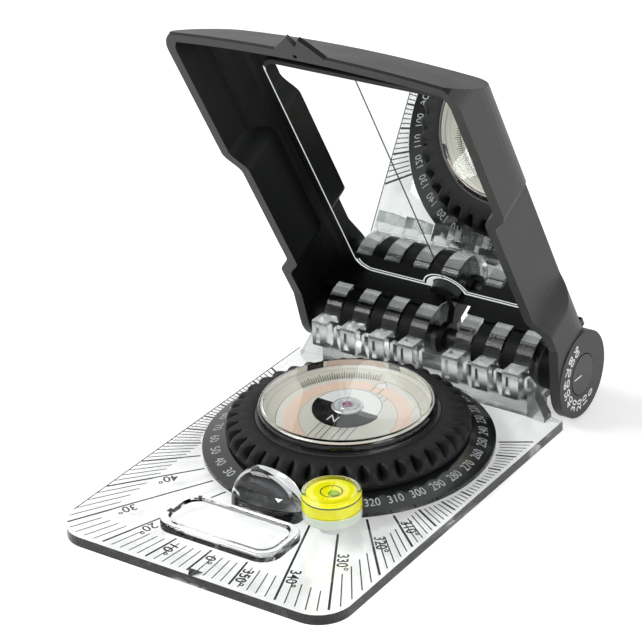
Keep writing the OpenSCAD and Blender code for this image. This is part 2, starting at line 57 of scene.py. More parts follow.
# %% Camera
YAW, PITCH, ROLL = (math.radians(a) for a in (35.32, 26.94, -2.81))
CAMERA_PLACE = Vector((318.44, -459.07, 322.32)) * MM
FOCAL_PX, FRAME_PX, SENSOR_MM = 2543.5, 642, 36

ahead = Matrix.Rotation(YAW, 3, "Z") @ Vector((0, math.cos(PITCH), -math.sin(PITCH)))
level_right = Vector((math.cos(YAW), math.sin(YAW), 0))
level_up = level_right.cross(ahead)
cam_right = math.cos(ROLL) * level_right + math.sin(ROLL) * level_up
cam_up = -math.sin(ROLL) * level_right + math.cos(ROLL) * level_up
camera = bpy.data.objects.new("Camera", bpy.data.cameras.new("Camera"))
scene.collection.objects.link(camera)
aim = Matrix((cam_right, cam_up, -ahead)).transposed()
camera.matrix_world = Matrix.Translation(CAMERA_PLACE) @ aim.to_4x4()
camera.data.sensor_fit = "HORIZONTAL"
camera.data.sensor_width = SENSOR_MM
camera.data.lens = FOCAL_PX / FRAME_PX * SENSOR_MM
camera.data.clip_start, camera.data.clip_end = 0.05, 20
scene.camera = camera
print("lens", round(camera.data.lens, 1), "mm")

# %% [markdown]
# ## Shader sums as Python sums
# A procedural material is a chain of small nodes. Written one by one, even r = sqrt(x*x + y*y)
# takes a dozen lines. So one small class stands for a number that flows between nodes, and
# its operators add the Math nodes. The same class works in materials and in Geometry Nodes,
# because both use the same Math node.


# %% Flow: a number between nodes
def plug(tree, value, socket):
    """Links a Flow to a socket, or sets the socket to a plain value."""
    if isinstance(value, Flow):
        tree.links.new(value.socket, socket)
    elif value is not None:
        socket.default_value = value


def operator(operation, swapped=False):
    """A method that adds one Math node. Swapped, it takes the other value first."""
    if swapped:
        return lambda self, other: self.math(operation, other, self)
    return lambda self, other: self.math(operation, self, other)


class Flow:
    """An output socket that can be used in Python sums."""

    def __init__(self, tree, socket):
        self.tree, self.socket = tree, socket

    def math(self, operation, *values):
        node = self.tree.nodes.new("ShaderNodeMath")
        node.operation = operation
        for value, place in zip(values, node.inputs):
            plug(self.tree, value, place)
        return Flow(self.tree, node.outputs[0])

    __add__, __radd__ = operator("ADD"), operator("ADD", swapped=True)
    __sub__, __rsub__ = operator("SUBTRACT"), operator("SUBTRACT", swapped=True)
    __mul__, __rmul__ = operator("MULTIPLY"), operator("MULTIPLY", swapped=True)
    __truediv__ = operator("DIVIDE")
    __gt__ = operator("GREATER_THAN")
    __lt__ = operator("LESS_THAN")
    __pow__ = operator("POWER")

    def at_least(self, other):
        return self.math("MAXIMUM", self, other)

    def at_most(self, other):
        return self.math("MINIMUM", self, other)


# %% [markdown]
# ## Finishes
# Every finish here is one Principled shader with something that varies over it: a fine grain
# in moulded plastic, a haze of fingerprints on gloss, a tint in clear acrylic. The class below
# adds any other node through one method, add, which sets the node's settings first and then
# its sockets.


# %% Finish: a material that is built by sums
class Finish:
    """A Principled material whose varying sockets are fed by Flows."""

    def __init__(self, name, **sockets):
        self.material = bpy.data.materials.new(name)
        self.material.use_nodes = True
        self.tree = self.material.node_tree
        self.shader = self.tree.nodes["Principled BSDF"]
        for socket, value in sockets.items():
            self.set(socket, value)
        self.here = self.add("TexCoord", out="Object")
        self.x, self.y, self.z = self.parts(self.here)

    def parts(self, vector):
        """The x, y and z of a vector, as three Flows."""
        split = self.add("SeparateXYZ", [(0, vector)])
        return (Flow(self.tree, s) for s in split.socket.node.outputs)

    def set(self, socket, value):
        """Sets or links a socket of the shader. A colour may have three numbers."""
        if isinstance(value, tuple) and len(value) == 3:
            value = (*value, 1)
        plug(self.tree, value, self.shader.inputs[socket.replace("_", " ")])

    def add(self, kind, values=(), out=0, stops=None, **settings):
        """Adds a node: its settings and a ramp's stops first, then its sockets."""
        node = self.tree.nodes.new("ShaderNode" + kind)
        for setting, value in settings.items():
            setattr(node, setting, value)
        if stops:
            ramp = node.color_ramp
            while len(ramp.elements) < len(stops):
                ramp.elements.new(1)
            for element, (position, colour) in zip(ramp.elements, stops):
                element.position, element.color = position, (*colour, 1)
        for socket, value in values:
            plug(self.tree, value, node.inputs[socket])
        return Flow(self.tree, node.outputs[out])

    def noise(self, per_mm, detail=3.0):
        """Soft noise with that many grains to the millimetre."""
        return self.add("TexNoise", [("Vector", self.here), ("Scale", per_mm / MM), ("Detail", detail)])

    def from_axis(self):
        """Distance from the Z axis."""
        return (self.x * self.x + self.y * self.y) ** 0.5

    def mix(self, mask, off, on):
        """Colour off where mask is 0 and on where it is 1."""
        off, on = ((*c, 1) if isinstance(c, tuple) else c for c in (off, on))
        return self.add("Mix", [(0, mask), (6, off), (7, on)], out=2, data_type="RGBA")

    def base_colour(self):
        """What feeds the base colour so far."""
        return Flow(self.tree, self.shader.inputs["Base Color"].links[0].from_socket)

    def bump(self, height, distance_mm):
        """Makes height, from 0 to 1, stand up by that distance."""
        sockets = [("Height", height), ("Distance", distance_mm * MM), ("Strength", 1)]
        self.set("Normal", self.add("Bump", sockets))


def clear_to_light(finish):
    """Lets lamp light and bounced light go straight through, so that what lies under it is lit cleanly."""
    path = finish.add("LightPath", out="Is Shadow Ray")
    bounced = Flow(finish.tree, path.socket.node.outputs["Is Diffuse Ray"])
    through = finish.add("BsdfTransparent", [("Color", (0.96, 0.97, 0.96, 1))])
    shader = Flow(finish.tree, finish.shader.outputs[0])
    both = finish.add("MixShader", [(0, path.at_least(bounced)), (1, shader), (2, through)])
    output = finish.tree.nodes["Material Output"]
    finish.tree.links.new(both.socket, output.inputs["Surface"])


# %% Moulded plastics and rubber
def grained(name, colour, rough, grain_mm, depth_mm, mottle=0.25):
    """Opaque moulded plastic: a fine grain, and slow changes of colour and gloss."""
    finish = Finish(name, Roughness=rough)
    slow = finish.noise(0.09, 2)
    dark = tuple(c * (1 - mottle) for c in colour)
    light = tuple(c * (1 + mottle) for c in colour)
    finish.set("Base Color", finish.mix(slow, dark, light))
    finish.set("Roughness", rough - 0.06 + slow * 0.12)
    finish.bump(finish.noise(1 / grain_mm, 2), depth_mm)
    return finish


grip_rubber = grained("grip_rubber", (0.013, 0.013, 0.0125), 0.55, 0.16, 0.02)
grip_rubber.set("Specular_IOR_Level", 0.22)
axle_black = grained("axle_black", (0.012, 0.012, 0.013), 0.35, 0.3, 0.008)
disc_grey = grained("disc_grey", (0.045, 0.045, 0.048), 0.5, 0.25, 0.01)
ring_black = grained("ring_black", (0.008, 0.009, 0.01), 0.16, 0.9, 0.0006)
ring_black.set("Specular_IOR_Level", 0.65)
ink = grained("ink", (0.012, 0.012, 0.013), 0.55, 0.3, 0.001)
dim_paint = grained("dim_paint", (0.42, 0.44, 0.44), 0.5, 0.3, 0.001, 0.05)
white_paint = grained("white_paint", (0.80, 0.81, 0.80), 0.5, 0.3, 0.001, 0.05)
wire_steel = grained("wire_steel", (0.4, 0.4, 0.41), 0.35, 0.3, 0.002)
wire_steel.set("Metallic", 1.0)
washer_black = grained("washer_black", (0.03, 0.03, 0.03), 0.6, 0.2, 0.01)
backing_dark = grained("backing_dark", (0.03, 0.03, 0.03), 0.7, 0.2, 0.005)
print("materials with the opaque finishes:", len(bpy.data.materials))


# %% Clear acrylic and glass
def clear(name, tint, rough=0.0, haze=0.02):
    """Clear plastic: a tint, and a faint haze of handling."""
    finish = Finish(name, Transmission_Weight=1.0, IOR=1.49)
    smear = finish.noise(0.13, 3)
    finish.set("Base Color", finish.mix(smear, tint, tuple(min(1, c * 1.03) for c in tint)))
    finish.set("Roughness", rough + smear * haze)
    clear_to_light(finish)
    return finish


clear_acrylic = clear("clear_acrylic", (0.955, 0.965, 0.96))
cover_glass = clear("cover_glass", (0.965, 0.97, 0.975), haze=0.015)
level_glass = clear("level_glass", (0.95, 0.965, 0.94))
reader_acrylic = clear("reader_acrylic", (0.84, 0.86, 0.86))
# The plate's cut edge is painted: a mottle from dark to pale stands for the shade and reflections that the
# edge shows.
edge_acrylic = Finish("edge_acrylic", Transmission_Weight=1.0, IOR=1.49)
mottle = edge_acrylic.noise(0.35, 4)
edge_shade_stops = [(0.34, (0.16, 0.17, 0.16)), (0.5, (0.42, 0.43, 0.38)), (0.68, (0.88, 0.89, 0.86))]
edge_acrylic.set("Base Color", edge_acrylic.add("ValToRGB", [("Fac", mottle)], stops=edge_shade_stops))
edge_acrylic.set("Roughness", 0.08 + mottle * 0.15)
clear_to_light(edge_acrylic)
print("materials with the clear ones:", len(bpy.data.materials))

# %% Knuckles of clear acrylic
DRUM_SHADE_DEG = (18, 72)  # painted dark stretch of each knuckle, round the axle from the front


def between(angle, low_deg, high_deg):
    """1 where an angle in radians lies between two in degrees."""
    return (angle < math.radians(high_deg)) * (angle > math.radians(low_deg))


hinge_acrylic = clear("hinge_acrylic", (0.66, 0.69, 0.68), 0.16, 0.14)
# The knuckles' grey tint and their darker stretch are painted shade and reflection: they stand for the black
# lid seen in the clear knuckles.
drum_acrylic = clear("drum_acrylic", (0.34, 0.37, 0.365), 0.14, 0.10)
round_axle = drum_acrylic.y.math("ARCTAN2", drum_acrylic.z - HINGE.z * MM, HINGE.y * MM - drum_acrylic.y)
drum_painted_shade = between(round_axle, *DRUM_SHADE_DEG)
drum_acrylic.set("Base Color", drum_acrylic.mix(drum_painted_shade, (0.46, 0.49, 0.485), (0.17, 0.18, 0.18)))
print("nodes in the knuckles' finish:", len(drum_acrylic.tree.nodes))

# %% Mirror and bevel
mirror_silver = Finish("mirror_silver", Metallic=1.0, Base_Color=(0.90, 0.92, 0.925))
mirror_silver.set("Roughness", mirror_silver.noise(0.1, 3) * 0.012)
# The bevel's pale colour and its glow are a painted highlight.
bevel_painted_highlight = Finish("bevel_painted_highlight", Specular_IOR_Level=0.8)
bevel_highlight_colour = bevel_painted_highlight.mix(bevel_painted_highlight.noise(0.25, 3), (0.62, 0.66, 0.66), (0.90, 0.92, 0.91))
bevel_painted_highlight.set("Base Color", bevel_highlight_colour)
bevel_painted_highlight.set("Roughness", 0.15 + bevel_painted_highlight.noise(0.3, 2) * 0.2)
bevel_painted_highlight.set("Emission Color", (0.9, 0.95, 0.95))
bevel_painted_highlight.set("Emission_Strength", 0.55)
print("materials with the mirror's:", len(bpy.data.materials))

# %% [markdown]
# ## Mesh helpers
# Most pieces of a compass are turned or moulded, so two helpers make nearly all of them. One
# turns a closed outline round the Z axis, as a lathe does. The other gives a flat outline a
# thickness. Doubles are merged and the faces turned outwards, because glass shows any
# face that points the wrong way.


# %% Pieces from outlines
def finish_mesh(mesh, finish, sharp_deg=30):
    """Merges doubles, turns the faces outwards, smooths them and gives them a finish."""
    work = bmesh.new()
    work.from_mesh(mesh)
    bmesh.ops.remove_doubles(work, verts=work.verts, dist=1e-7)
    bmesh.ops.dissolve_degenerate(work, edges=work.edges, dist=1e-8)
    bmesh.ops.recalc_face_normals(work, faces=work.faces)
    for face in work.faces:
        face.smooth = True
    work.to_mesh(mesh)
    work.free()
    mesh.set_sharp_from_angle(angle=math.radians(sharp_deg))
    if finish:
        mesh.materials.clear()
        mesh.materials.append(finish.material)


def piece_from(name, points, faces, finish, sharp_deg=30):
    """A new object from points in millimetres."""
    mesh = bpy.data.meshes.new(name)
    mesh.from_pydata([Vector(p) * MM for p in points], [], faces)
    finish_mesh(mesh, finish, sharp_deg)
    piece = bpy.data.objects.new(name, mesh)
    scene.collection.objects.link(piece)
    return piece


def turned_faces(n, steps):
    """Faces that join outlines of n points each, set at equal steps round an axis."""
    faces = []
    for i in range(steps):
        a, b = i * n, (i + 1) % steps * n
        faces += [(a + k, b + k, b + (k + 1) % n, a + (k + 1) % n) for k in range(n)]
    return faces


def lathe(name, profile, finish, steps=128, centre=(0, 0), sharp_deg=30):
    """Turns a closed outline of (radius, height) round a vertical axis."""
    points = []
    for i in range(steps):
        turn = 2 * math.pi * i / steps
        points += [(centre[0] + r * math.cos(turn), centre[1] + r * math.sin(turn), z) for r, z in profile]
    return piece_from(name, points, turned_faces(len(profile), steps), finish, sharp_deg)


def slab_data(outline, z0, z1):
    """Points and faces of a flat outline with a thickness."""
    n = len(outline)
    points = [(x, y, z0) for x, y in outline] + [(x, y, z1) for x, y in outline]
    faces = [tuple(range(n - 1, -1, -1)), tuple(range(n, 2 * n))]
    faces += [(k, (k + 1) % n, n + (k + 1) % n, n + k) for k in range(n)]
    return points, faces


def join_data(parts):
    """One list of points and faces from several."""
    points, faces = [], []
    for more_points, more_faces in parts:
        start = len(points)
        points += more_points
        faces += [tuple(start + k for k in face) for face in more_faces]
    return points, faces


def arc(cx, cy, r, a0, a1, steps):
    """Points of an arc from a0 to a1 degrees."""
    angles = [math.radians(a0 + (a1 - a0) * i / steps) for i in range(steps + 1)]
    return [(cx + r * math.cos(a), cy + r * math.sin(a)) for a in angles]


def dress(finish, *names):
    """Gives CAD nodes a finish. Their meshes are left as they are."""
    for name in names:
        nodes[name].data.materials.clear()
        nodes[name].data.materials.append(finish.material)


# %% [markdown]
# ## Lettering
# Numbers come from Blender's own font. Each text object is made a mesh first, with a little
# thickness, and only then bent into place by a function that says where a point of the text
# lies on the real surface: flat on the plate, round the cone of the ring, or upright on the
# boss of the arm. All the numbers of one scale become one piece.

# %% Text as points
TEXT_THICK, CAPITAL_SHARE = 0.04, 0.7
text_cache = {}


def text_data(words, height, bold=0.0):
    """Points (along, up, out) in mm and faces of centred text whose capitals are that high."""
    key = (words, height, bold)
    if key not in text_cache:
        curve = bpy.data.curves.new("text", "FONT")
        curve.body = words
        curve.size = height / CAPITAL_SHARE * MM
        curve.extrude = TEXT_THICK / 2 * MM
        curve.offset = bold * MM
        curve.resolution_u = 3
        curve.align_x, curve.align_y = "CENTER", "CENTER"
        holder = bpy.data.objects.new("text", curve)
        mesh = bpy.data.meshes.new_from_object(holder)
        points = [tuple(v.co / MM) for v in mesh.vertices]
        text_cache[key] = (points, [tuple(p.vertices) for p in mesh.polygons])
        bpy.data.objects.remove(holder)
        bpy.data.meshes.remove(mesh)
    return text_cache[key]


def set_text(words, height, place, squeeze=1.0, bold=0.0):
    """Text whose points are put in place by place(along, up, out)."""
    points, faces = text_data(words, height, bold)
    return [place(u * squeeze, v, w) for u, v, w in points], faces


def on_plane(centre, along, up):
    """Places text on a plane through centre."""
    centre, along, up = Vector(centre), Vector(along).normalized(), Vector(up).normalized()
    out = along.cross(up)
    return lambda u, v, w: tuple(centre + along * u + up * v + out * w)


def bearing(degrees):
    """Angle in radians, from +X, of a bearing that runs clockwise from the 0 mark in front."""
    return math.radians(-90 - degrees)


# %% [markdown]
# ## The floor, the backdrop and the light
# The photograph stands on plain white. The floor and the world show white to the camera and
# through clear pieces, while the light itself stays at a plain level. The floor is also a real
# white surface, so it keeps the object's soft shadow. It glows a little more far away, where
# it meets the backdrop. A reflection sees the sky dimmed overhead, with one bright box, as
# gloss does in a studio.

# %% Floor
def seen_directly(tree):
    """1 for rays from the camera, from reflections and through clear pieces."""
    outputs = tree.nodes.new("ShaderNodeLightPath").outputs
    seen = [Flow(tree, outputs[k]) for k in ("Is Camera Ray", "Is Glossy Ray", "Is Transmission Ray")]
    return seen[0].at_least(seen[1].at_least(seen[2]))


def ramp_up(flow, start, slope):
    """0 below start, then rising to 1."""
    raised = (flow - start) * slope
    return raised.at_least(0.0).at_most(1.0)


FLOOR_R, FLOOR_Z, FLOOR_SIDES = 1600, -0.2, 64
GLOW_NEAR, GLOW_MORE, GLOW_FROM, GLOW_SLOPE = 0.42, 0.5, 0.25, 2.4
floor_white = Finish("floor_white", Base_Color=(0.80, 0.80, 0.80), Roughness=0.9, Specular_IOR_Level=0.1)
floor_white.set("Emission Color", (1, 1, 1))
far_glow = ramp_up(floor_white.from_axis(), GLOW_FROM, GLOW_SLOPE) * GLOW_MORE
floor_white.set("Emission Strength", seen_directly(floor_white.tree) * (GLOW_NEAR + far_glow))
floor_points = [(x, y, FLOOR_Z) for x, y in arc(0, 0, FLOOR_R, 0, 360, FLOOR_SIDES)[:-1]]
floor = piece_from("floor", floor_points, [tuple(range(FLOOR_SIDES))], floor_white)
print("floor at", FLOOR_Z, "mm")

# %% World and lamps
world = bpy.data.worlds.new("studio")
scene.world = world
world.use_nodes = True
air = world.node_tree
sky = air.nodes["Background"]
WORLD_LIGHT, DIMMING = 0.45, 0.85
BRIGHT_TOWARD = (-0.68, 0.50, 0.53)
split = air.nodes.new("ShaderNodeSeparateXYZ")
air.links.new(air.nodes.new("ShaderNodeTexCoord").outputs["Generated"], split.inputs[0])
to_x, to_y, to_z = (Flow(air, s) for s in split.outputs)
toward_box = to_x * BRIGHT_TOWARD[0] + to_y * BRIGHT_TOWARD[1] + to_z * BRIGHT_TOWARD[2]
bright_box = ramp_up(toward_box, 0.80, 8.0)
dimmed = ramp_up(to_z, 0.12, 3.3) * (1 - bright_box) * DIMMING
mirrored = Flow(air, air.nodes.new("ShaderNodeLightPath").outputs["Is Glossy Ray"])
strength = WORLD_LIGHT + seen_directly(air) * (1 - WORLD_LIGHT) - mirrored * dimmed
plug(air, strength, sky.inputs["Strength"])
sky.inputs["Color"].default_value = (1, 1, 1, 1)


def lamp(name, place, aim, size, power):
    """A square lamp of that size in metres and power in watts, turned to aim."""
    light = bpy.data.lights.new(name, "AREA")
    light.size, light.energy = size, power
    holder = bpy.data.objects.new(name, light)
    scene.collection.objects.link(holder)
    holder.location = place
    holder.rotation_euler = (Vector(aim) - Vector(place)).to_track_quat("-Z", "Y").to_euler()


lamp("key", (-0.55, -0.35, 0.8), (0, 0, 0.03), 0.5, 7)
lamp("fill", (0.9, -0.2, 0.45), (0, 0, 0.05), 0.5, 4)
scene.view_settings.view_transform = "Standard"
print("lamps:", len(bpy.data.lights))

# %% [markdown]
# ## The clear plate, its magnifiers and its knuckles
# On the real object these are one moulding of clear acrylic. Where two clear solids only
# touch, light would bend at a face that the real one doesn't have. So the plate, the reading
# magnifier and the index magnifier are joined into one skin by a Boolean, and stand for their
# three CAD nodes. Both magnifiers are lofted from rounded outlines that shrink as they rise.

# %% Outlines and lofts
PLATE_T, SUNK = 3.7, 1.5  # thickness of the plate, and how far a magnifier's stem goes into it
READER = dict(x=-1.2, y=-49.8, length=34.6, width=16.2, height=3.3)
DOME = dict(x=0.2, y=-37.4, half=8.9, right=10.9, depth=4.1, top=15.3)


def rounded_outline(w, l, r, steps=10):
    """Rounded rectangle about the origin, counterclockwise."""
    r = max(min(r, w / 2 - 0.01, l / 2 - 0.01), 0.005)
    x, y = w / 2 - r, l / 2 - r
    corners = [(x, y, 0), (-x, y, 90), (-x, -y, 180), (x, -y, 270)]
    return [p for cx, cy, a in corners for p in arc(cx, cy, r, a, a + 90, steps)]


def loft(name, rings, finish, sharp_deg=40):
    """Closes a stack of outlines with equal counts into a solid."""
    n = len(rings[0])
    points = [p for ring in rings for p in ring]
    faces = [tuple(range(n - 1, -1, -1)), tuple(range(len(points) - n, len(points)))]
    for level in range(len(rings) - 1):
        a, b = level * n, (level + 1) * n
        faces += [(a + k, a + (k + 1) % n, b + (k + 1) % n, b + k) for k in range(n)]
    return piece_from(name, points, faces, finish, sharp_deg)


# %% Magnifiers
def reader_rings():
    """Vertical wall, a rounded rim with a dip inside it, then a nearly flat crown."""
    wall, shoulder, crown = READER["height"] * 0.62, 0.75, 0.45
    steps = [(0, -SUNK), (0, wall - shoulder)]
    steps += [(shoulder * (1 - math.cos(t)), wall - shoulder + shoulder * math.sin(t))
              for t in (math.radians(a) for a in (20, 40, 60, 76))]
    steps += [(1.3, wall + 0.1), (1.75, wall - 0.15), (2.2, wall - 0.55), (2.5, wall - 0.35)]
    crown_in, crown_z = steps[-1]
    middle_in = READER["width"] / 2 - 0.4
    for k in range(1, 11):
        t = k / 10
        steps.append((crown_in + (middle_in - crown_in) * t, crown_z + crown * math.sin(t * math.pi / 2)))
    rings = []
    for inset, z in steps:
        flat = rounded_outline(READER["length"] - 2 * inset, READER["width"] - 2 * inset, 5.0 - inset * 0.55)
        rings.append([(x + READER["x"], y + READER["y"], z + PLATE_T) for x, y in flat])
    return rings


def swollen(value):
    """A cosine or sine, pushed outwards so that an ellipse becomes a squarer oval."""
    return math.copysign(abs(value) ** 0.72, value)


def dome_rings(sides=48):
    """Tall lopsided thumb: squarish ovals that shrink as they rise, the left side soonest."""
    rings = []
    rise = DOME["top"] - PLATE_T
    for h in [-SUNK] + [rise * math.sin(math.radians(a)) for a in range(0, 88, 6)]:
        t = max(h, 0) / rise
        left, right = DOME["half"] * (1 - t ** 2.1) ** 0.5, DOME["right"] * (1 - t ** 3.6) ** 0.5
        depth = DOME["depth"] * (1 - t ** 3.4) ** 0.42
        ring = []
        for k in range(sides):
            angle = 2 * math.pi * k / sides
            c, s = swollen(math.cos(angle)), swollen(math.sin(angle))
            ring.append((DOME["x"] + (right if c > 0 else left) * c, DOME["y"] + depth * s, PLATE_T + h))
        rings.append(ring)
    return rings


reader = loft("reader_form", reader_rings(), clear_acrylic)
dome = loft("dome_form", dome_rings(), clear_acrylic)
ring_room = lathe("ring_room", [(0, 3.0), (37.45, 3.0), (37.45, 5.55), (31.35, 7.15), (31.35, 18), (0, 18)],
                  clear_acrylic)
print("reader", len(reader.data.vertices), "dome", len(dome.data.vertices))

# %% Join the mouldings
def cut_or_join(target, other, operation):
    """Adds a Boolean that takes other away from target, or joins it on."""
    modifier = target.modifiers.new("boolean", "BOOLEAN")
    modifier.object, modifier.operation, modifier.solver = other, operation, "EXACT"


def apply_modifiers(piece, finish=None, sharp_deg=30):
    """Makes what the modifiers show the piece's own mesh, and removes them."""
    made = bpy.data.meshes.new_from_object(piece.evaluated_get(bpy.context.evaluated_depsgraph_get()))
    old = piece.data
    piece.modifiers.clear()
    piece.data = made
    bpy.data.meshes.remove(old)
    if finish:
        finish_mesh(made, finish, sharp_deg)


def discard(*pieces):
    for piece in pieces:
        bpy.data.objects.remove(piece)


base_mesh = nodes["base_plate"].data.copy()
base_mesh.name = "clear_moulding"
clear_moulding = bpy.data.objects.new("clear_moulding", base_mesh)
scene.collection.objects.link(clear_moulding)
finish_mesh(base_mesh, clear_acrylic)
cut_or_join(dome, ring_room, "DIFFERENCE")
apply_modifiers(dome, clear_acrylic, 40)
for magnifier in (reader, dome):
    cut_or_join(clear_moulding, magnifier, "UNION")
    apply_modifiers(clear_moulding, clear_acrylic, 28)
discard(reader, dome, ring_room)
print("joined moulding:", len(clear_moulding.data.polygons), "faces")

# %% Crisp flats and smooth curves
NEAR = 0.2  # what still counts as on a magnifier, in mm


def in_box(x, y, low_x, high_x, low_y, high_y):
    return low_x - NEAR < x < high_x + NEAR and low_y - NEAR < y < high_y + NEAR


def is_magnifier(point):
    """True on the rounded surfaces of the two magnifiers."""
    x, y, z = point / MM
    half_l, half_w, depth = READER["length"] / 2, READER["width"] / 2, DOME["depth"]
    in_reader = in_box(x - READER["x"], y - READER["y"], -half_l, half_l, -half_w, half_w)
    in_dome = in_box(x - DOME["x"], y - DOME["y"], -DOME["half"], DOME["right"], -depth, depth)
    return z > PLATE_T + 0.02 and (in_reader or in_dome)


def mark_edges(mesh, flat_deg, round_deg):
    """Sharp edges at a small angle on the flat moulding and at a wide one on the magnifiers."""
    work = bmesh.new()
    work.from_mesh(mesh)
    for edge in work.edges:
        faces = edge.link_faces
        soft = len(faces) == 2 and all(is_magnifier(f.calc_center_median()) for f in faces)
        limit = math.radians(round_deg if soft else flat_deg)
        edge.smooth = len(faces) == 2 and faces[0].normal.angle(faces[1].normal, 0) < limit
    work.to_mesh(mesh)
    work.free()


base_mesh = clear_moulding.data
mark_edges(base_mesh, 6.2, 40)
print("sharp edges:", sum(edge.use_edge_sharp for edge in base_mesh.edges), "of", len(base_mesh.edges))

# %% [markdown]
# ## Finishes of the moulding
# One clear moulding looks different from place to place: smoky at the plate's cut edge, grey
# where the knuckles bend the light of the black lid, dark at the foot of the tall magnifier,
# which sees the ring, and bright where its back catches the sky. These are painted into the
# finishes as painted shade, painted reflections and a glowing painted highlight. So it takes six
# finishes, and each face gets one by its place.

# %% Finish of the tall magnifier
dome_acrylic = Finish("dome_acrylic", Transmission_Weight=1.0, IOR=1.49)
# Painted shade: the magnifier is dark up from its foot, for the black ring and grip seen in it, and clear
# near the top.
up_dome = dome_acrylic.z / (DOME["top"] * MM)
dome_shade_stops = [(0.3, (0.015, 0.016, 0.018)), (0.7, (0.06, 0.065, 0.07)), (0.88, (0.92, 0.93, 0.93))]
dome_acrylic.set("Base Color", dome_acrylic.add("ValToRGB", [("Fac", up_dome)], stops=dome_shade_stops))
dome_acrylic.set("Roughness", dome_acrylic.noise(0.3, 2) * 0.03)
PAINTED_HIGHLIGHT_SIDE = Vector((0.39, 0.67, 0.63))  # the way that the strip of painted highlight on the dome faces
HIGHLIGHT_FROM_Z, HIGHLIGHT_FROM_X = 8.5, -4.5
facing = dome_acrylic.add("TexCoord", out="Normal")
to_sky = dome_acrylic.add("VectorMath", [(0, facing), (1, PAINTED_HIGHLIGHT_SIDE)], out="Value", operation="DOT_PRODUCT")
# A strip on the back glows: a painted highlight of the sky.
bright = (to_sky > 0.60) * (dome_acrylic.z > HIGHLIGHT_FROM_Z * MM) * (dome_acrylic.x > HIGHLIGHT_FROM_X * MM)
dome_acrylic.set("Emission Color", dome_acrylic.mix(bright, (0.0, 0.0, 0.0), (0.62, 0.64, 0.64)))
dome_acrylic.set("Emission_Strength", 1.0)
clear_to_light(dome_acrylic)
print("the dome is clear from", round(dome_shade_stops[-1][0] * DOME["top"], 1), "mm up")

# %% A finish for each face
PLAIN, EDGE, RAIL, DOME_SLOT, READER_SLOT, DRUM = range(6)
RAIL_FROM_Y, DRUM_REACH, DRUM_FROM_Z = 31.5, 6.5, 9.5


def slot_of(face):
    """Which of the moulding's finishes a face gets."""
    x, y, z = face.center / MM
    at_side = abs(x) > 40.2 or y < -68.6 or (y < -59 and abs(x) > 31)
    if abs(face.normal.z) < 0.3 and at_side and z < 3:
        return EDGE
    if y > RAIL_FROM_Y and z > 0.5:
        return DRUM if y > HINGE.y - DRUM_REACH and z > DRUM_FROM_Z else RAIL
    if is_magnifier(face.center):
        return DOME_SLOT if y > -41.6 else READER_SLOT
    return PLAIN


for extra in (edge_acrylic, hinge_acrylic, dome_acrylic, reader_acrylic, drum_acrylic):
    base_mesh.materials.append(extra.material)
for face in base_mesh.polygons:
    face.material_index = slot_of(face)
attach(clear_moulding, "base")
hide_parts("base_plate", "reading_magnifier", "index_magnifier")
print("faces by finish:", [sum(f.material_index == k for f in base_mesh.polygons) for k in range(6)])

# %% [markdown]
# ## The protractor print
# The plate carries a protractor: a fine line every 2 degrees round the edge, and a bold one
# every 10 degrees that runs in to the compass. The lines are real strips, a few hundredths of
# a millimetre thick, just under the plate's upper face. The mark at 0 is on its lower face,
# so the acrylic bends it. Each line ends where the plate does, so its length comes from the
# plate's outline in Python. A dark strip along the plate's left edge, made with the lines, is
# painted shade.

# %% Lines
HALF_W, FRONT, CORNER = 40.5, 69.0, 8.5  # outline of the plate
BORDER_X, BORDER_Y = 32.4, 60.2          # where the fine lines start, across and in front
RING_EDGE, READER_FRONT = 37.6, 58.8     # where the bold lines start
FINE_FROM, SHORTEST = 38, 0.4            # no fine line starts nearer the axis, or is shorter
FINE_W, BOLD_W, LINE_INSET = 0.3, 0.58, 0.35
UNDER_Z, LINE_Z, EDGE_SHADE_Z = (0.10, 0.15), (3.60, 3.63), (3.60, 3.66)


def ray_to(distance, nearing):
    """Length of a ray to a straight edge at distance, if it gets nearer by nearing for each unit."""
    return distance / nearing if nearing > 1e-6 else math.inf


def plate_reach(angle, inset):
    """Distance from the compass axis to the plate's edge, drawn in by inset."""
    c, s = math.cos(angle), math.sin(angle)
    w, f, r = HALF_W - inset, FRONT - inset, CORNER - inset * 0.4
    reach = min(ray_to(w, abs(c)), ray_to(f, -s))
    x, y = abs(reach * c), reach * s
    if s < 0 and x > w - r and y < -f + r:
        cx, cy = w - r, -f + r
        b = abs(c) * cx + s * cy
        reach = b + math.sqrt(max(b * b - (cx * cx + cy * cy - r * r), 0))
    return reach


def strip(angle, r0, r1, width):
    """Outline of a straight line along a radius."""
    c, s, h = math.cos(angle), math.sin(angle), width / 2
    return [(r0 * c + h * s, r0 * s - h * c), (r1 * c + h * s, r1 * s - h * c),
            (r1 * c - h * s, r1 * s + h * c), (r0 * c - h * s, r0 * s + h * c)]


def rectangle(x0, x1, y0, y1):
    """Counterclockwise outline."""
    return [(x0, y0), (x1, y0), (x1, y1), (x0, y1)]


parts = []
for degrees in range(-120, 121, 2):
    angle = bearing(degrees)
    edge = plate_reach(angle, LINE_INSET)
    border = min(ray_to(BORDER_X, abs(math.cos(angle))), ray_to(BORDER_Y, -math.sin(angle)))
    if degrees % 10 == 0:
        start = ray_to(READER_FRONT, -math.sin(angle)) if abs(degrees) <= 10 else RING_EDGE
        parts.append(slab_data(strip(angle, start, edge, BOLD_W), *LINE_Z))
    elif edge - border > SHORTEST:
        parts.append(slab_data(strip(angle, max(border, FINE_FROM), edge, FINE_W), *LINE_Z))
parts.append(slab_data([(0, -68.2), (2.1, -65.0), (-2.1, -65.0)], *UNDER_Z))
# Painted shade: a dark strip just inside the plate's left edge, for the shade that the cut edge shows.
parts.append(slab_data(rectangle(-40.47, -40.19, -60.5, 37), *EDGE_SHADE_Z))
protractor_lines_and_edge_shade = piece_from("protractor_lines_and_edge_shade", *join_data(parts), ink)
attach(protractor_lines_and_edge_shade, "base")
print("protractor lines:", len(parts))

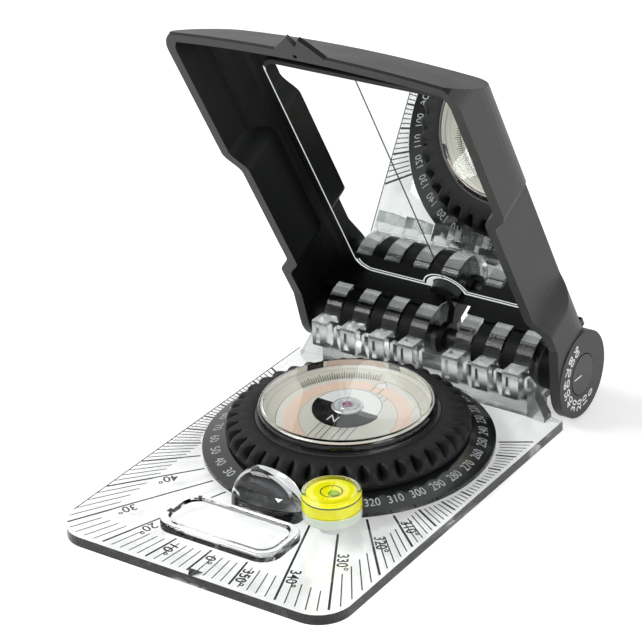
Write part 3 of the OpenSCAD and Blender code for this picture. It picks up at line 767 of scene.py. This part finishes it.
# %% Numbers of the plate
parts = []
LABEL_HIGH, LABEL_ASIDE = 2.7, 1.75  # each number stands beside its line, this far from it
label_radii = {0: 62.5, 10: 64.0, 20: 61.7, 30: 61.4, 40: 47.5,
               350: 66.0, 340: 63.8, 330: 56.2, 320: 49.4, 310: 44.5}
for degrees, radius in label_radii.items():
    angle = bearing(degrees)
    along = (math.cos(angle), math.sin(angle), 0)
    up = (-along[1], along[0], 0)
    x, y = (radius * along[k] + LABEL_ASIDE * up[k] for k in (0, 1))
    parts.append(set_text(f"{degrees}°", LABEL_HIGH, on_plane((x, y, LINE_Z[0]), along, up), bold=0.06))
print("plate numbers:", len(parts))
plate_numbers = piece_from("plate_numbers", *join_data(parts), ink)
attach(plate_numbers, "base")

# %% [markdown]
# ## The numbered ring and the rubber grip
# The ring is gloss black with grey degree numbers that read upright at the 0 mark, where the
# user looks through the index magnifier. Its surface is a cone, so the text is bent round it.
# The grip is a rubber ring with rounded treads. Its outline is turned as on a lathe, and a
# groove between treads draws the outline in and down. The grooves are painted nearly black, as
# painted shade.

# %% Ring numbers
RING_R, RING_SEAT_R, RIM_Z, RING_TOP_Z = 37.1, 30.8, 5.0, 6.8
slope = math.atan2(RING_TOP_Z - RIM_Z, RING_R - RING_SEAT_R)


def on_ring(degrees, middle_r):
    """Places text on the ring's cone, with its top towards the middle."""
    def place(u, v, w):
        r = middle_r - v * math.cos(slope) + w * math.sin(slope)
        z = RIM_Z + (RING_R - middle_r + v * math.cos(slope)) * math.tan(slope) + w * math.cos(slope)
        angle = bearing(degrees) + u / middle_r
        return r * math.cos(angle), r * math.sin(angle), z
    return place


DIAL_OFF = 3.0  # how far the dial is turned in the photograph, in degrees
NUMBER_HIGH, NUMBER_R, NARROW = 2.5, 34.0, 0.78
parts = []
for degrees in range(0, 360, 10):
    squeeze = NARROW if degrees > 99 else 1.0
    parts.append(set_text(str(degrees), NUMBER_HIGH, on_ring(degrees - DIAL_OFF, NUMBER_R), squeeze=squeeze))
ring_numbers = piece_from("ring_numbers", *join_data(parts), dim_paint)
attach(ring_numbers, "dial")
dress(ring_black, "numbered_ring")
print("ring numbers:", len(parts))

# %% Treads of the grip
TREADS, TREAD_STEPS, GROOVE, GROOVE_DROP = 40, 14, 2.7, 0.28
# Radius, height and the share of the groove's depth at each point of the outline.
GRIP_LINE = [(23.45, 6.82, 0), (29.7, 6.82, 0), (30.6, 7.6, 0), (30.98, 8.6, 0), (30.98, 9.5, 0.25),
             (30.95, 10.3, 0.7), (30.72, 11.1, 0.95), (30.3, 11.8, 1), (29.7, 12.3, 1), (29.0, 12.58, 0.75),
             (28.2, 12.7, 0.35), (27.5, 12.76, 0), (24.5, 13.15, 0), (23.45, 12.88, 0)]


def treaded_ring():
    """Points and faces of a turned ring whose shoulder has a sharp groove between rounded treads."""
    points, turns = [], TREADS * TREAD_STEPS
    for i in range(turns):
        share = i % TREAD_STEPS / TREAD_STEPS
        from_groove = min(share, 1 - share) * 2
        depth = GROOVE * (1 - from_groove) ** 2.2
        angle = 2 * math.pi * (i + 0.5 * TREAD_STEPS) / turns
        for r, z, cut in GRIP_LINE:
            inner = r - depth * cut
            points.append((inner * math.cos(angle), inner * math.sin(angle), z - depth * cut * GROOVE_DROP))
    return points, turned_faces(len(GRIP_LINE), turns)


SHOULDER_R, SHOULDER_Z, TREAD_DEPTH = 28.4, 10.1, 2.15  # a groove's floor lies this near its middle
# Painted shade: the floor of each groove between treads is made nearly black.
grip_r = grip_rubber.from_axis()
from_shoulder = ((grip_r - SHOULDER_R * MM) ** 2.0 + (grip_rubber.z - SHOULDER_Z * MM) ** 2.0) ** 0.5
groove_shade = (from_shoulder < TREAD_DEPTH * MM) * (grip_r > 27.6 * MM) * (grip_rubber.z > 9.2 * MM)
grip_rubber.set("Base Color", grip_rubber.mix(groove_shade, grip_rubber.base_colour(), (0.0015, 0.0015, 0.0015)))
grip = piece_from("grip_treads", *treaded_ring(), grip_rubber, 34)
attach(grip, "dial")
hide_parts("grip_ring")
print("grip faces:", len(grip.data.polygons))

# %% [markdown]
# ## A tree that makes scales
# Graduations repeat round a circle, which is just what Geometry Nodes are for. The tree makes
# one short bar for each division, puts it at its angle, tilts it with the surface and
# makes every so many of them longer. Its sizes are named inputs, so it can make the scale of
# any instrument. Here it makes the declination scale on the capsule's sloping ring.

# %% The graduation tree
def new_tree(name, inputs):
    """A Geometry Nodes tree with named inputs, and a Flow for each."""
    tree = bpy.data.node_groups.new(name, "GeometryNodeTree")
    for title, kind in inputs:
        tree.interface.new_socket(title, in_out="INPUT", socket_type=kind)
    tree.interface.new_socket("Geometry", in_out="OUTPUT", socket_type="NodeSocketGeometry")
    entry = tree.nodes.new("NodeGroupInput")
    flows = {title: Flow(tree, entry.outputs[title]) for title, kind in inputs}
    return tree, flows


def tree_node(tree, kind, values=(), out=0):
    """Adds a node and gives the Flow of one of its outputs."""
    node = tree.nodes.new(kind)
    for socket, value in values:
        plug(tree, value, node.inputs[socket])
    return Flow(tree, node.outputs[out])


SCALE_INPUTS = [("Count", "NodeSocketInt"), ("First", "NodeSocketFloat"), ("Step", "NodeSocketFloat"),
                ("Inner", "NodeSocketFloat"), ("Length", "NodeSocketFloat"), ("Longer", "NodeSocketFloat"),
                ("Every", "NodeSocketInt"), ("Width", "NodeSocketFloat"), ("Height", "NodeSocketFloat"),
                ("Tilt", "NodeSocketFloat"), ("Thick", "NodeSocketFloat"), ("Finish", "NodeSocketMaterial")]
scale_tree, g = new_tree("graduations", SCALE_INPUTS)
line = tree_node(scale_tree, "GeometryNodeMeshLine", [("Count", g["Count"])])
index = tree_node(scale_tree, "GeometryNodeInputIndex")
turn = g["First"] + g["Step"] * index
long_one = index.math("COMPARE", index.math("MODULO", index, g["Every"]), 0.0, 0.1)
length = g["Length"] + g["Longer"] * long_one
cos_turn, sin_turn = turn.math("COSINE", turn), turn.math("SINE", turn)
middle = g["Inner"] + length * 0.5 * turn.math("COSINE", g["Tilt"])
rise = length * 0.5 * turn.math("SINE", g["Tilt"])
place = tree_node(scale_tree, "ShaderNodeCombineXYZ",
                  [(0, middle * cos_turn), (1, middle * sin_turn), (2, g["Height"] + rise)])
points = tree_node(scale_tree, "GeometryNodeSetPosition", [("Geometry", line), ("Position", place)])
bar = tree_node(scale_tree, "GeometryNodeMeshCube", [("Size", (1, 1, 1))])
size = tree_node(scale_tree, "ShaderNodeCombineXYZ", [(0, length), (1, g["Width"]), (2, g["Thick"])])
rotation = tree_node(scale_tree, "ShaderNodeCombineXYZ", [(1, 0 - g["Tilt"]), (2, turn)])
bars = tree_node(scale_tree, "GeometryNodeInstanceOnPoints",
                 [("Points", points), ("Instance", bar), ("Rotation", rotation), ("Scale", size)])
real = tree_node(scale_tree, "GeometryNodeRealizeInstances", [("Geometry", bars)])
painted = tree_node(scale_tree, "GeometryNodeSetMaterial", [("Geometry", real), ("Material", g["Finish"])])
scale_tree.links.new(painted.socket, scale_tree.nodes.new("NodeGroupOutput").inputs[0])
print("the tree has", len(scale_tree.nodes), "nodes and", len(SCALE_INPUTS), "inputs")


# %% A scale as a piece
def graduations(name, finish, **sizes):
    """A scale as a plain mesh. Lengths are in mm and angles in degrees."""
    piece = bpy.data.objects.new(name, bpy.data.meshes.new(name))
    scene.collection.objects.link(piece)
    modifier = piece.modifiers.new("graduations", "NODES")
    modifier.node_group = scale_tree
    ids = {item.name: item.identifier for item in scale_tree.interface.items_tree if item.in_out == "INPUT"}
    modifier[ids["Finish"]] = finish.material
    for title, value in sizes.items():
        if title in ("First", "Step", "Tilt"):
            value = math.radians(value)
        elif title not in ("Count", "Every"):
            value = value * MM
        modifier[ids[title]] = value
    apply_modifiers(piece)
    print(name, len(piece.data.polygons), "faces")
    return piece


# %% [markdown]
# ## The capsule
# Under a thick clear cover lie a cream floor, a sloping graduated ring, the orienting disc with
# its salmon band and arrow, and the needle. The bands are a material that reads the distance
# from the axis. Lines and arrows are thin solids, so that they stay sharp in any view. The
# cover's thick wall is clear too. It looks dark from outside and mirrors the disc's colours
# within, so a thin band in it carries them as painted reflections, with painted shade outside,
# and the floor under the wall is painted the same dark.

# %% Cover and floor
ROUND = 160  # steps round the capsule
cover_line = [(0, 15.4), (21.0, 15.4), (21.3, 15.1), (21.3, 13.0), (22.7, 13.0), (22.7, 15.0),
              (22.55, 15.45), (22.15, 15.95), (21.6, 16.25), (21.0, 16.4), (0, 16.4)]
cover = lathe("cover_lens", cover_line, cover_glass, ROUND)
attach(cover, "dial")
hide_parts("capsule_cover")


def banded(name, stops, rough, outer_mm):
    """Glossy print in rings: stops are (radius in mm, colour) and each holds to the next."""
    finish = Finish(name)
    share = finish.from_axis() / (outer_mm * MM)
    bands = finish.add("ValToRGB", [("Fac", share)], stops=[(r / outer_mm, colour) for r, colour in stops])
    bands.socket.node.color_ramp.interpolation = "CONSTANT"
    slow = finish.noise(0.12, 3)
    finish.set("Base Color", finish.mix(slow * 0.12, bands, (0.62, 0.58, 0.50)))
    finish.set("Roughness", rough + slow * 0.1)
    finish.bump(finish.noise(2, 2), 0.004)
    return finish


CREAM, PALE, OCHRE = (0.66, 0.64, 0.55), (0.76, 0.74, 0.67), (0.5, 0.49, 0.42)
# The last colour is painted shade: the dark that the cover's wall shows from outside.
SALMON, LINE, PAINTED_WALL_SHADE = (0.90, 0.66, 0.53), (0.18, 0.10, 0.07), (0.004, 0.0045, 0.007)
disc_print = banded("disc_print", [(0, PALE), (11.8, LINE), (11.95, SALMON), (15.4, PALE)], 0.3, 20)
cream_ring = banded("cream_ring", [(0, CREAM), (19.9, OCHRE), (20.1, PALE)], 0.3, 25)
# Under the cover's wall the floor is painted dark, as painted shade.
cream_wall_with_painted_shade = banded("cream_wall_with_painted_shade", [(0, PALE), (21.36, PAINTED_WALL_SHADE)], 0.3, 25)
dress(disc_print, "orienting_disc")
dress(cream_ring, "scale_ring")
dress(cream_wall_with_painted_shade, "capsule_base")
print("cover faces:", len(cover.data.polygons))

# %% Band of painted reflections in the wall of the cover
BAND_R, BAND_T, BAND_Z = 21.42, 0.2, (13.06, 15.2)
# Degrees round the axis and colour of each painted reflection of the disc that the inside shows.
PAINTED_REFLECTIONS = [(97, 138, (0.72, 0.56, 0.48)), (85, 94, (0.16, 0.16, 0.16)), (140, 152, (0.005, 0.005, 0.005))]
reflection_band_finish = Finish("cover_painted_reflection_band", Roughness=0.25, Specular_IOR_Level=0.3)
around = reflection_band_finish.y.math("ARCTAN2", reflection_band_finish.y, reflection_band_finish.x)
inside = PALE
for start, end, colour in PAINTED_REFLECTIONS:
    inside = reflection_band_finish.mix(between(around, start, end), inside, colour)
# Outside, the band takes the painted shade of the wall.
is_outside = reflection_band_finish.from_axis() > (BAND_R + 0.08) * MM
reflection_band_finish.set("Base Color", reflection_band_finish.mix(is_outside, inside, PAINTED_WALL_SHADE))
band_line = rectangle(BAND_R, BAND_R + BAND_T, *BAND_Z)
band = lathe("cover_painted_reflection_band", band_line, reflection_band_finish, ROUND)
print("patches in the cover's band:", len(PAINTED_REFLECTIONS))
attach(band, "dial")

# %% Scales in the capsule
fine_scale = graduations("declination_scale", ink, Count=35, First=96, Step=2, Every=5, Inner=16.7,
                         Length=1.7, Longer=0.6, Width=0.15, Height=11.68, Tilt=30, Thick=0.03)
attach(fine_scale, "dial")

# %% Arrow and lines of the orienting disc
DISC_TOP, INK_T, TIP_T = 11.6, 0.03, 0.02
red_ink = grained("red_ink", (0.16, 0.02, 0.015), 0.5, 0.3, 0.001)
pale_ink = grained("pale_ink", (0.85, 0.84, 0.80), 0.4, 0.3, 0.001, 0.05)


def disc_bars(xs, half_length, width):
    """Bars along Y, side by side on the disc."""
    flats = [rectangle(x - width / 2, x + width / 2, -half_length, half_length) for x in xs]
    return [slab_data(flat, DISC_TOP, DISC_TOP + INK_T) for flat in flats]


parts = disc_bars([-1.15, 1.15], 14.6, 0.16) + disc_bars([-4.2, -2.6, 2.6, 4.2], 11.4, 0.12)
head = [(0, 16.9), (2.1, 14.4), (2.3, 14.2), (0, 17.2), (-2.3, 14.2), (-2.1, 14.4)]
parts.append(slab_data(head, DISC_TOP, DISC_TOP + INK_T))
disc_lines = piece_from("orienting_lines", *join_data(parts), ink)
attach(disc_lines, "orienting")
tip_flat = [(-2.1, 14.3), (2.1, 14.3), (0, 17.0)]
tail_flat = [(-1.9, -15.4), (1.9, -15.4), (1.1, -12.8), (-1.1, -12.8)]
tip = piece_from("arrow_tip", *slab_data(tip_flat, DISC_TOP, DISC_TOP + TIP_T), pale_ink)
tail = piece_from("arrow_tail", *slab_data(tail_flat, DISC_TOP, DISC_TOP + TIP_T), red_ink)
for mark in (tip, tail):
    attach(mark, "orienting")
print("lines on the orienting disc:", len(parts))

# %% [markdown]
# ## The needle
# The needle is a light round card with half of its face black, so that it can be read at a
# glance. A clear hub in its middle holds the jewel that turns on the steel pin. The halves
# and the rim line could be thin pieces too, but one finish can draw them by sums on the
# place, with no mesh of their own. The hub and the jewel are round, so they are turned.

# %% Needle card
CARD_RIM = (8.45, 8.62)  # radii of the fine line near the rim
card_print = Finish("card_print", Roughness=0.3, Specular_IOR_Level=0.08)
rear_half = card_print.y > 0
card_r = card_print.from_axis()
rim_line = (card_r > CARD_RIM[0] * MM) * (card_r < CARD_RIM[1] * MM)
white_half = card_print.mix(rim_line, (0.84, 0.84, 0.82), (0.05, 0.05, 0.05))
card_print.set("Base Color", card_print.mix(rear_half, (0.006, 0.006, 0.007), white_half))
card_print.set("Roughness", 0.25 + card_print.noise(0.2) * 0.1)
clear_to_light(card_print)
dress(card_print, "needle_card")
letter_at = on_plane((0, -6.5, 13.61), (1, 0, 0), (0, 1, 0))
north = piece_from("north_letter", *set_text("N", 2.6, letter_at), white_paint)
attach(north, "needle")
print("letter faces:", len(north.data.polygons))

# %% Hub and jewel
hub_glass = Finish("hub_clear", Roughness=0.12, Metallic=0.35)
hub_glass.set("Base Color", hub_glass.mix(hub_glass.noise(0.8), (0.42, 0.45, 0.46), (0.72, 0.75, 0.76)))
hub_line = [(1.25, 12.7), (2.1, 12.7), (2.1, 13.62), (3.9, 13.62), (4.0, 13.72), (4.0, 13.85), (3.85, 14.0),
            (3.3, 14.08), (3.1, 14.0), (2.3, 14.02), (2.1, 14.18), (1.45, 14.2), (1.25, 14.1)]
hub = lathe("needle_hub_turned", hub_line, hub_glass, 96)
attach(hub, "needle")
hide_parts("needle_hub")
jewel_red = Finish("jewel_magenta", Roughness=0.08, Coat_Weight=1.0)
jewel_red.set("Base Color", jewel_red.mix(jewel_red.noise(0.9), (0.16, 0.0, 0.07), (0.34, 0.005, 0.16)))
jewel_line = [(0, 13.9), (1.22, 13.9), (1.22, 14.3), (1.1, 14.42), (0.5, 14.44), (0, 14.38)]
jewel = lathe("jewel_cup", jewel_line, jewel_red, 64)
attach(jewel, "needle")
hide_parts("hub_jewel")
for finish in (hub_glass, wire_steel):
    clear_to_light(finish)
dress(wire_steel, "pivot_pin", "needle_magnet", "snap_ring")
print("hub faces:", len(hub.data.polygons), "jewel faces:", len(jewel.data.polygons))

# %% [markdown]
# ## The round level
# A cup of bright yellow-green fluid under a clear lens, with a black circle that the bubble
# sits in when the plate is level. It stands on a pale foot and a pedestal. Every part is
# round about one axis, so a few points and the lathe make each. The fluid glows in daylight,
# so it gets a little emission.

# %% Pedestal, foot and lens
LEVEL_AT = (19.22, -35.99)
foot_pale = Finish("level_foot_pale", Roughness=0.25, Coat_Weight=0.4, Subsurface_Weight=0.3)
foot_pale.set("Base Color", foot_pale.mix(foot_pale.noise(0.3), (0.74, 0.76, 0.58), (0.90, 0.91, 0.82)))
pedestal_line = [(0, 3.72), (3.4, 3.72), (3.8, 6.6), (4.2, 7.0), (0, 7.0)]
foot_line = [(0, 7.02), (6.8, 7.02), (7.12, 7.3), (7.2, 7.7), (7.2, 9.7), (0, 9.7)]
lens_line = [(0, 9.72), (7.25, 9.72), (7.25, 13.6), (7.15, 13.88), (6.9, 14.05), (6.6, 14.1), (6.3, 14.0),
             (6.1, 13.82), (4, 13.87), (0, 13.9)]
pedestal = lathe("level_pedestal", pedestal_line, white_paint, 64, LEVEL_AT)
foot = lathe("level_foot", foot_line, foot_pale, 96, LEVEL_AT)
body = lathe("level_lens", lens_line, level_glass, 96, LEVEL_AT, 50)
print("level lens faces:", len(body.data.polygons))

# %% Fluid
fluid_yellow = Finish("fluid_yellow", Roughness=0.15)
fluid_tint = fluid_yellow.mix(fluid_yellow.noise(0.12), (0.78, 0.86, 0.0), (0.92, 0.76, 0.0))
fluid_yellow.set("Base Color", fluid_tint)
fluid_yellow.set("Emission Color", fluid_tint)
fluid_yellow.set("Emission_Strength", 0.12)
fluid_line = [(0, 9.8), (6.5, 9.8), (6.5, 12.7), (6.2, 13.0), (5.6, 13.2), (0, 13.4)]
fluid = lathe("level_fluid_fill", fluid_line, fluid_yellow, 96, LEVEL_AT)
for piece, cad_node in ((foot, "level_seat"), (body, "level_vial"), (fluid, "level_fluid")):
    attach(piece, "base")
    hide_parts(cad_node)
print("fluid faces:", len(fluid.data.polygons))

# %% Circle, band and bubble
green_line = grained("green_line", (0.01, 0.10, 0.015), 0.3, 0.3, 0.001)
bubble_shine = clear("bubble_shine", (0.40, 0.62, 0.10))
bubble_line = [(0, 13.42), (1.3, 13.42), (1.45, 13.5), (1.25, 13.62), (0.8, 13.7), (0, 13.73)]
bubble_at = (LEVEL_AT[0] + 1.0, LEVEL_AT[1] - 0.5)
level_circle = lathe("level_circle", rectangle(2.5, 2.72, 13.44, 13.5), ink, 64, LEVEL_AT)
level_band = lathe("level_band", rectangle(6.52, 6.6, 12.5, 12.85), green_line, 96, LEVEL_AT)
bubble = lathe("level_bubble", bubble_line, bubble_shine, 48, bubble_at)
for mark in (level_circle, level_band, bubble, pedestal, foot):
    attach(mark, "base")
print("level:", sum(len(piece.data.polygons) for piece in (pedestal, foot, body, fluid, bubble)), "faces")

# %% [markdown]
# ## The lid, the mirror and the sight post
# The lid is a black composite shell that is matte inside and out. Its inner faces, its hinge
# side and its upturned end wall are painted darker, as painted shade. The mirror is silvered
# glass with a narrow bevel all round, which shows as a pale double line, and an arched notch for
# the sight post. Its outline comes from a rounded rectangle with the notch cut in, and each
# inner outline is the same shape drawn in, which makes the bevel. Its pale faces and the double
# line glow as a painted highlight, and its faces at the far end and the right side are painted
# dark as shade.

# %% Lid finishes
OPEN_RAD = math.radians(-61.66)
SIN_OPEN, COS_OPEN = math.sin(OPEN_RAD), math.cos(OPEN_RAD)
FLOOR_HEIGHT, HINGE_REACH, HINGE_HALF_W, END_REACH = -4.9, 12, 38.3, 95  # in the lid's own measures


def height_in_lid(y, z):
    """How far up the open lid's own Z a step of y and z goes."""
    return y * -SIN_OPEN + z * COS_OPEN


def reach_in_lid(y, z):
    """How far from the hinge towards the lid's end it goes."""
    return z * -SIN_OPEN - y * COS_OPEN


lid_black = grained("lid_black", (0.05, 0.052, 0.051), 0.46, 0.22, 0.012)
lid_black.set("Specular_IOR_Level", 0.2)
face_x, face_y, face_z = lid_black.parts(lid_black.add("TexCoord", out="Normal"))
from_hinge = (lid_black.y - HINGE.y * MM, lid_black.z - HINGE.z * MM)
height, reach = height_in_lid(*from_hinge), reach_in_lid(*from_hinge)
# Painted shade: the inner walls, the inner floor and the hinge side are made darker than the outside, and the
# upturned end wall a little darker too.
walls_within = lid_black.x * face_x < -0.003
floor_within = (height_in_lid(face_y, face_z) < -0.12) * (height > FLOOR_HEIGHT * MM)
hinge_side = (reach < HINGE_REACH * MM) * (lid_black.x.math("ABSOLUTE", lid_black.x) < HINGE_HALF_W * MM)
within = walls_within.at_least(floor_within).at_least(hinge_side)
painted_shade_end_wall = (reach_in_lid(face_y, face_z) > 0.55) * (reach > END_REACH * MM)
outside = lid_black.mix(painted_shade_end_wall, lid_black.base_colour(), (0.013, 0.0135, 0.0115))
lid_black.set("Base Color", lid_black.mix(within, outside, (0.0035, 0.004, 0.004)))
print("materials in all:", len(bpy.data.materials))

# %% Dress the lid and the axle
dress(lid_black, "lid_shell")
dress(axle_black, "sight_post", "hinge_axle")
dress(backing_dark, "mirror_backing")
dress(disc_grey, "index_disc", "axle_cap")
dress(washer_black, "friction_washers")
print("lid_shell wears", nodes["lid_shell"].data.materials[0].name)

# %% Mirror with a bevel
LID_TURN = Matrix.Rotation(OPEN_RAD, 4, "X")
MIRROR = dict(width=57.0, near=9.7, far=94.0, corner=4.6, notch=4.9, notch_x=-0.4, notch_y=-9.7,
              back=9.4, front=8.2)
BEVEL_IN, BEVEL_DROP = 0.9, 0.45


def in_lid(x, y, z):
    """From lid measures, with the hinge axis at the origin and the lid shut, to the open lid."""
    return tuple(HINGE + LID_TURN @ Vector((x, y, z)))


def mirror_outline(inset):
    """Counterclockwise outline with the arched notch in its near edge."""
    hw, near, far = MIRROR["width"] / 2 - inset, -MIRROR["near"] - inset, -MIRROR["far"] + inset
    r, n = MIRROR["corner"] - inset * 0.6, MIRROR["notch"] + inset
    nx, ny = MIRROR["notch_x"], MIRROR["notch_y"]
    outline = arc(-hw + r, far + r, r, 180, 270, 8) + arc(hw - r, far + r, r, 270, 360, 8)
    outline += arc(hw - r, near - r, r, 0, 90, 8)
    dip = math.degrees(math.asin((near - ny) / n))
    outline += arc(nx, ny, n, dip, -180 - dip, 24)
    outline += arc(-hw + r, near - r, r, 90, 180, 8)
    return outline


levels = [(0.0, MIRROR["back"]), (0.0, MIRROR["front"] + BEVEL_DROP), (BEVEL_IN, MIRROR["front"])]
rings = [[in_lid(x, y, z) for x, y in mirror_outline(inset)] for inset, z in levels]
mirror = loft("mirror_bevelled", rings, mirror_silver, 8)
for extra in (bevel_painted_highlight, backing_dark):
    mirror.data.materials.append(extra.material)
SILVER, PAINTED_HIGHLIGHT_EDGE, PAINTED_SHADE_EDGE = range(3)
to_lid = LID_TURN.to_3x3().transposed()
for face in mirror.data.polygons:
    spot = to_lid @ (face.center / MM - HINGE)
    is_flat = abs((to_lid @ face.normal).z) > 0.99
    # The bevel's faces get a painted highlight that glows, and those at the far end and the right side get
    # the backing's dark as painted shade.
    in_shade = spot.y < -MIRROR["far"] + 3 or spot.x > MIRROR["width"] / 2 - 2
    face.material_index = SILVER if is_flat else PAINTED_SHADE_EDGE if in_shade else PAINTED_HIGHLIGHT_EDGE
print("mirror faces:", len(mirror.data.polygons))
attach(mirror, "lid")
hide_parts("mirror_glass")

# %% Lines on the mirror
ON_GLASS = (MIRROR["front"] - 0.03, MIRROR["front"] - 0.002)
HIGHLIGHT_LINES = [(0.92, 1.35), (1.95, 2.3)]  # outer and inner inset of each pale line of painted highlight
LINES_FROM_Y = -24                        # the painted highlight shows only round the near end of the mirror
SIGHT_W, SIGHT_NEAR = 0.2, -15.6          # half the sighting line's width, and its near end


def on_mirror(name, slabs, finish):
    """A thin piece on the glass, from slabs in the lid's measures."""
    points, faces = join_data(slabs)
    return piece_from(name, [in_lid(*p) for p in points], faces, finish)


parts = []
for outer, inner in (map(mirror_outline, insets) for insets in HIGHLIGHT_LINES):
    for k, a in enumerate(outer):
        after = (k + 1) % len(outer)
        b = outer[after]
        if min(a[1], b[1]) > LINES_FROM_Y:
            parts.append(slab_data([a, b, inner[after], inner[k]], *ON_GLASS))
bevel_highlight_lines = on_mirror("mirror_bevel_highlight_lines", parts, bevel_painted_highlight)
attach(bevel_highlight_lines, "lid")
sight_flat = rectangle(-SIGHT_W, SIGHT_W, -MIRROR["far"] + BEVEL_IN, SIGHT_NEAR)
sight_line = on_mirror("sighting_line", [slab_data(sight_flat, *ON_GLASS)], ink)
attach(sight_line, "lid")
print("pale edge strips:", len(parts))

# %% [markdown]
# ## The clinometer scale
# The round boss of the right arm turns with the lid, past a disc that stays with the plate. Ten
# plain numbers stand round the boss, and the disc has one white line to read them against.
# Each number is real text at its own angle, because a picture of the scale would blur close up.

# %% Clinometer numbers and index line
BOSS_X, BOSS_R = 41.3, 8.3
FIRST_DEG, STEP_DEG = 112, 21
parts = []
for k in range(10):
    angle = math.radians(FIRST_DEG + STEP_DEG * k)
    out = Vector((0, math.cos(angle), math.sin(angle)))
    centre = HINGE + out * BOSS_R + Vector((BOSS_X, 0, 0))
    upright = on_plane(centre, -out, Vector((1, 0, 0)).cross(-out))
    parts.append(set_text(str(90 - 10 * k), 2.2, upright, bold=0.05))
clino_numbers = piece_from("clinometer_numbers", *join_data(parts), white_paint)
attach(clino_numbers, "lid")
DISC_FACE = (41.38, 41.44)
points, faces = slab_data(rectangle(-4.3, -0.6, -0.17, 0.17), *DISC_FACE)
turned = [(out, HINGE.y + along, HINGE.z + up) for along, up, out in points]
index_line = piece_from("index_line", turned, faces, white_paint)
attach(index_line, "base")
print("clinometer numbers:", len(parts))
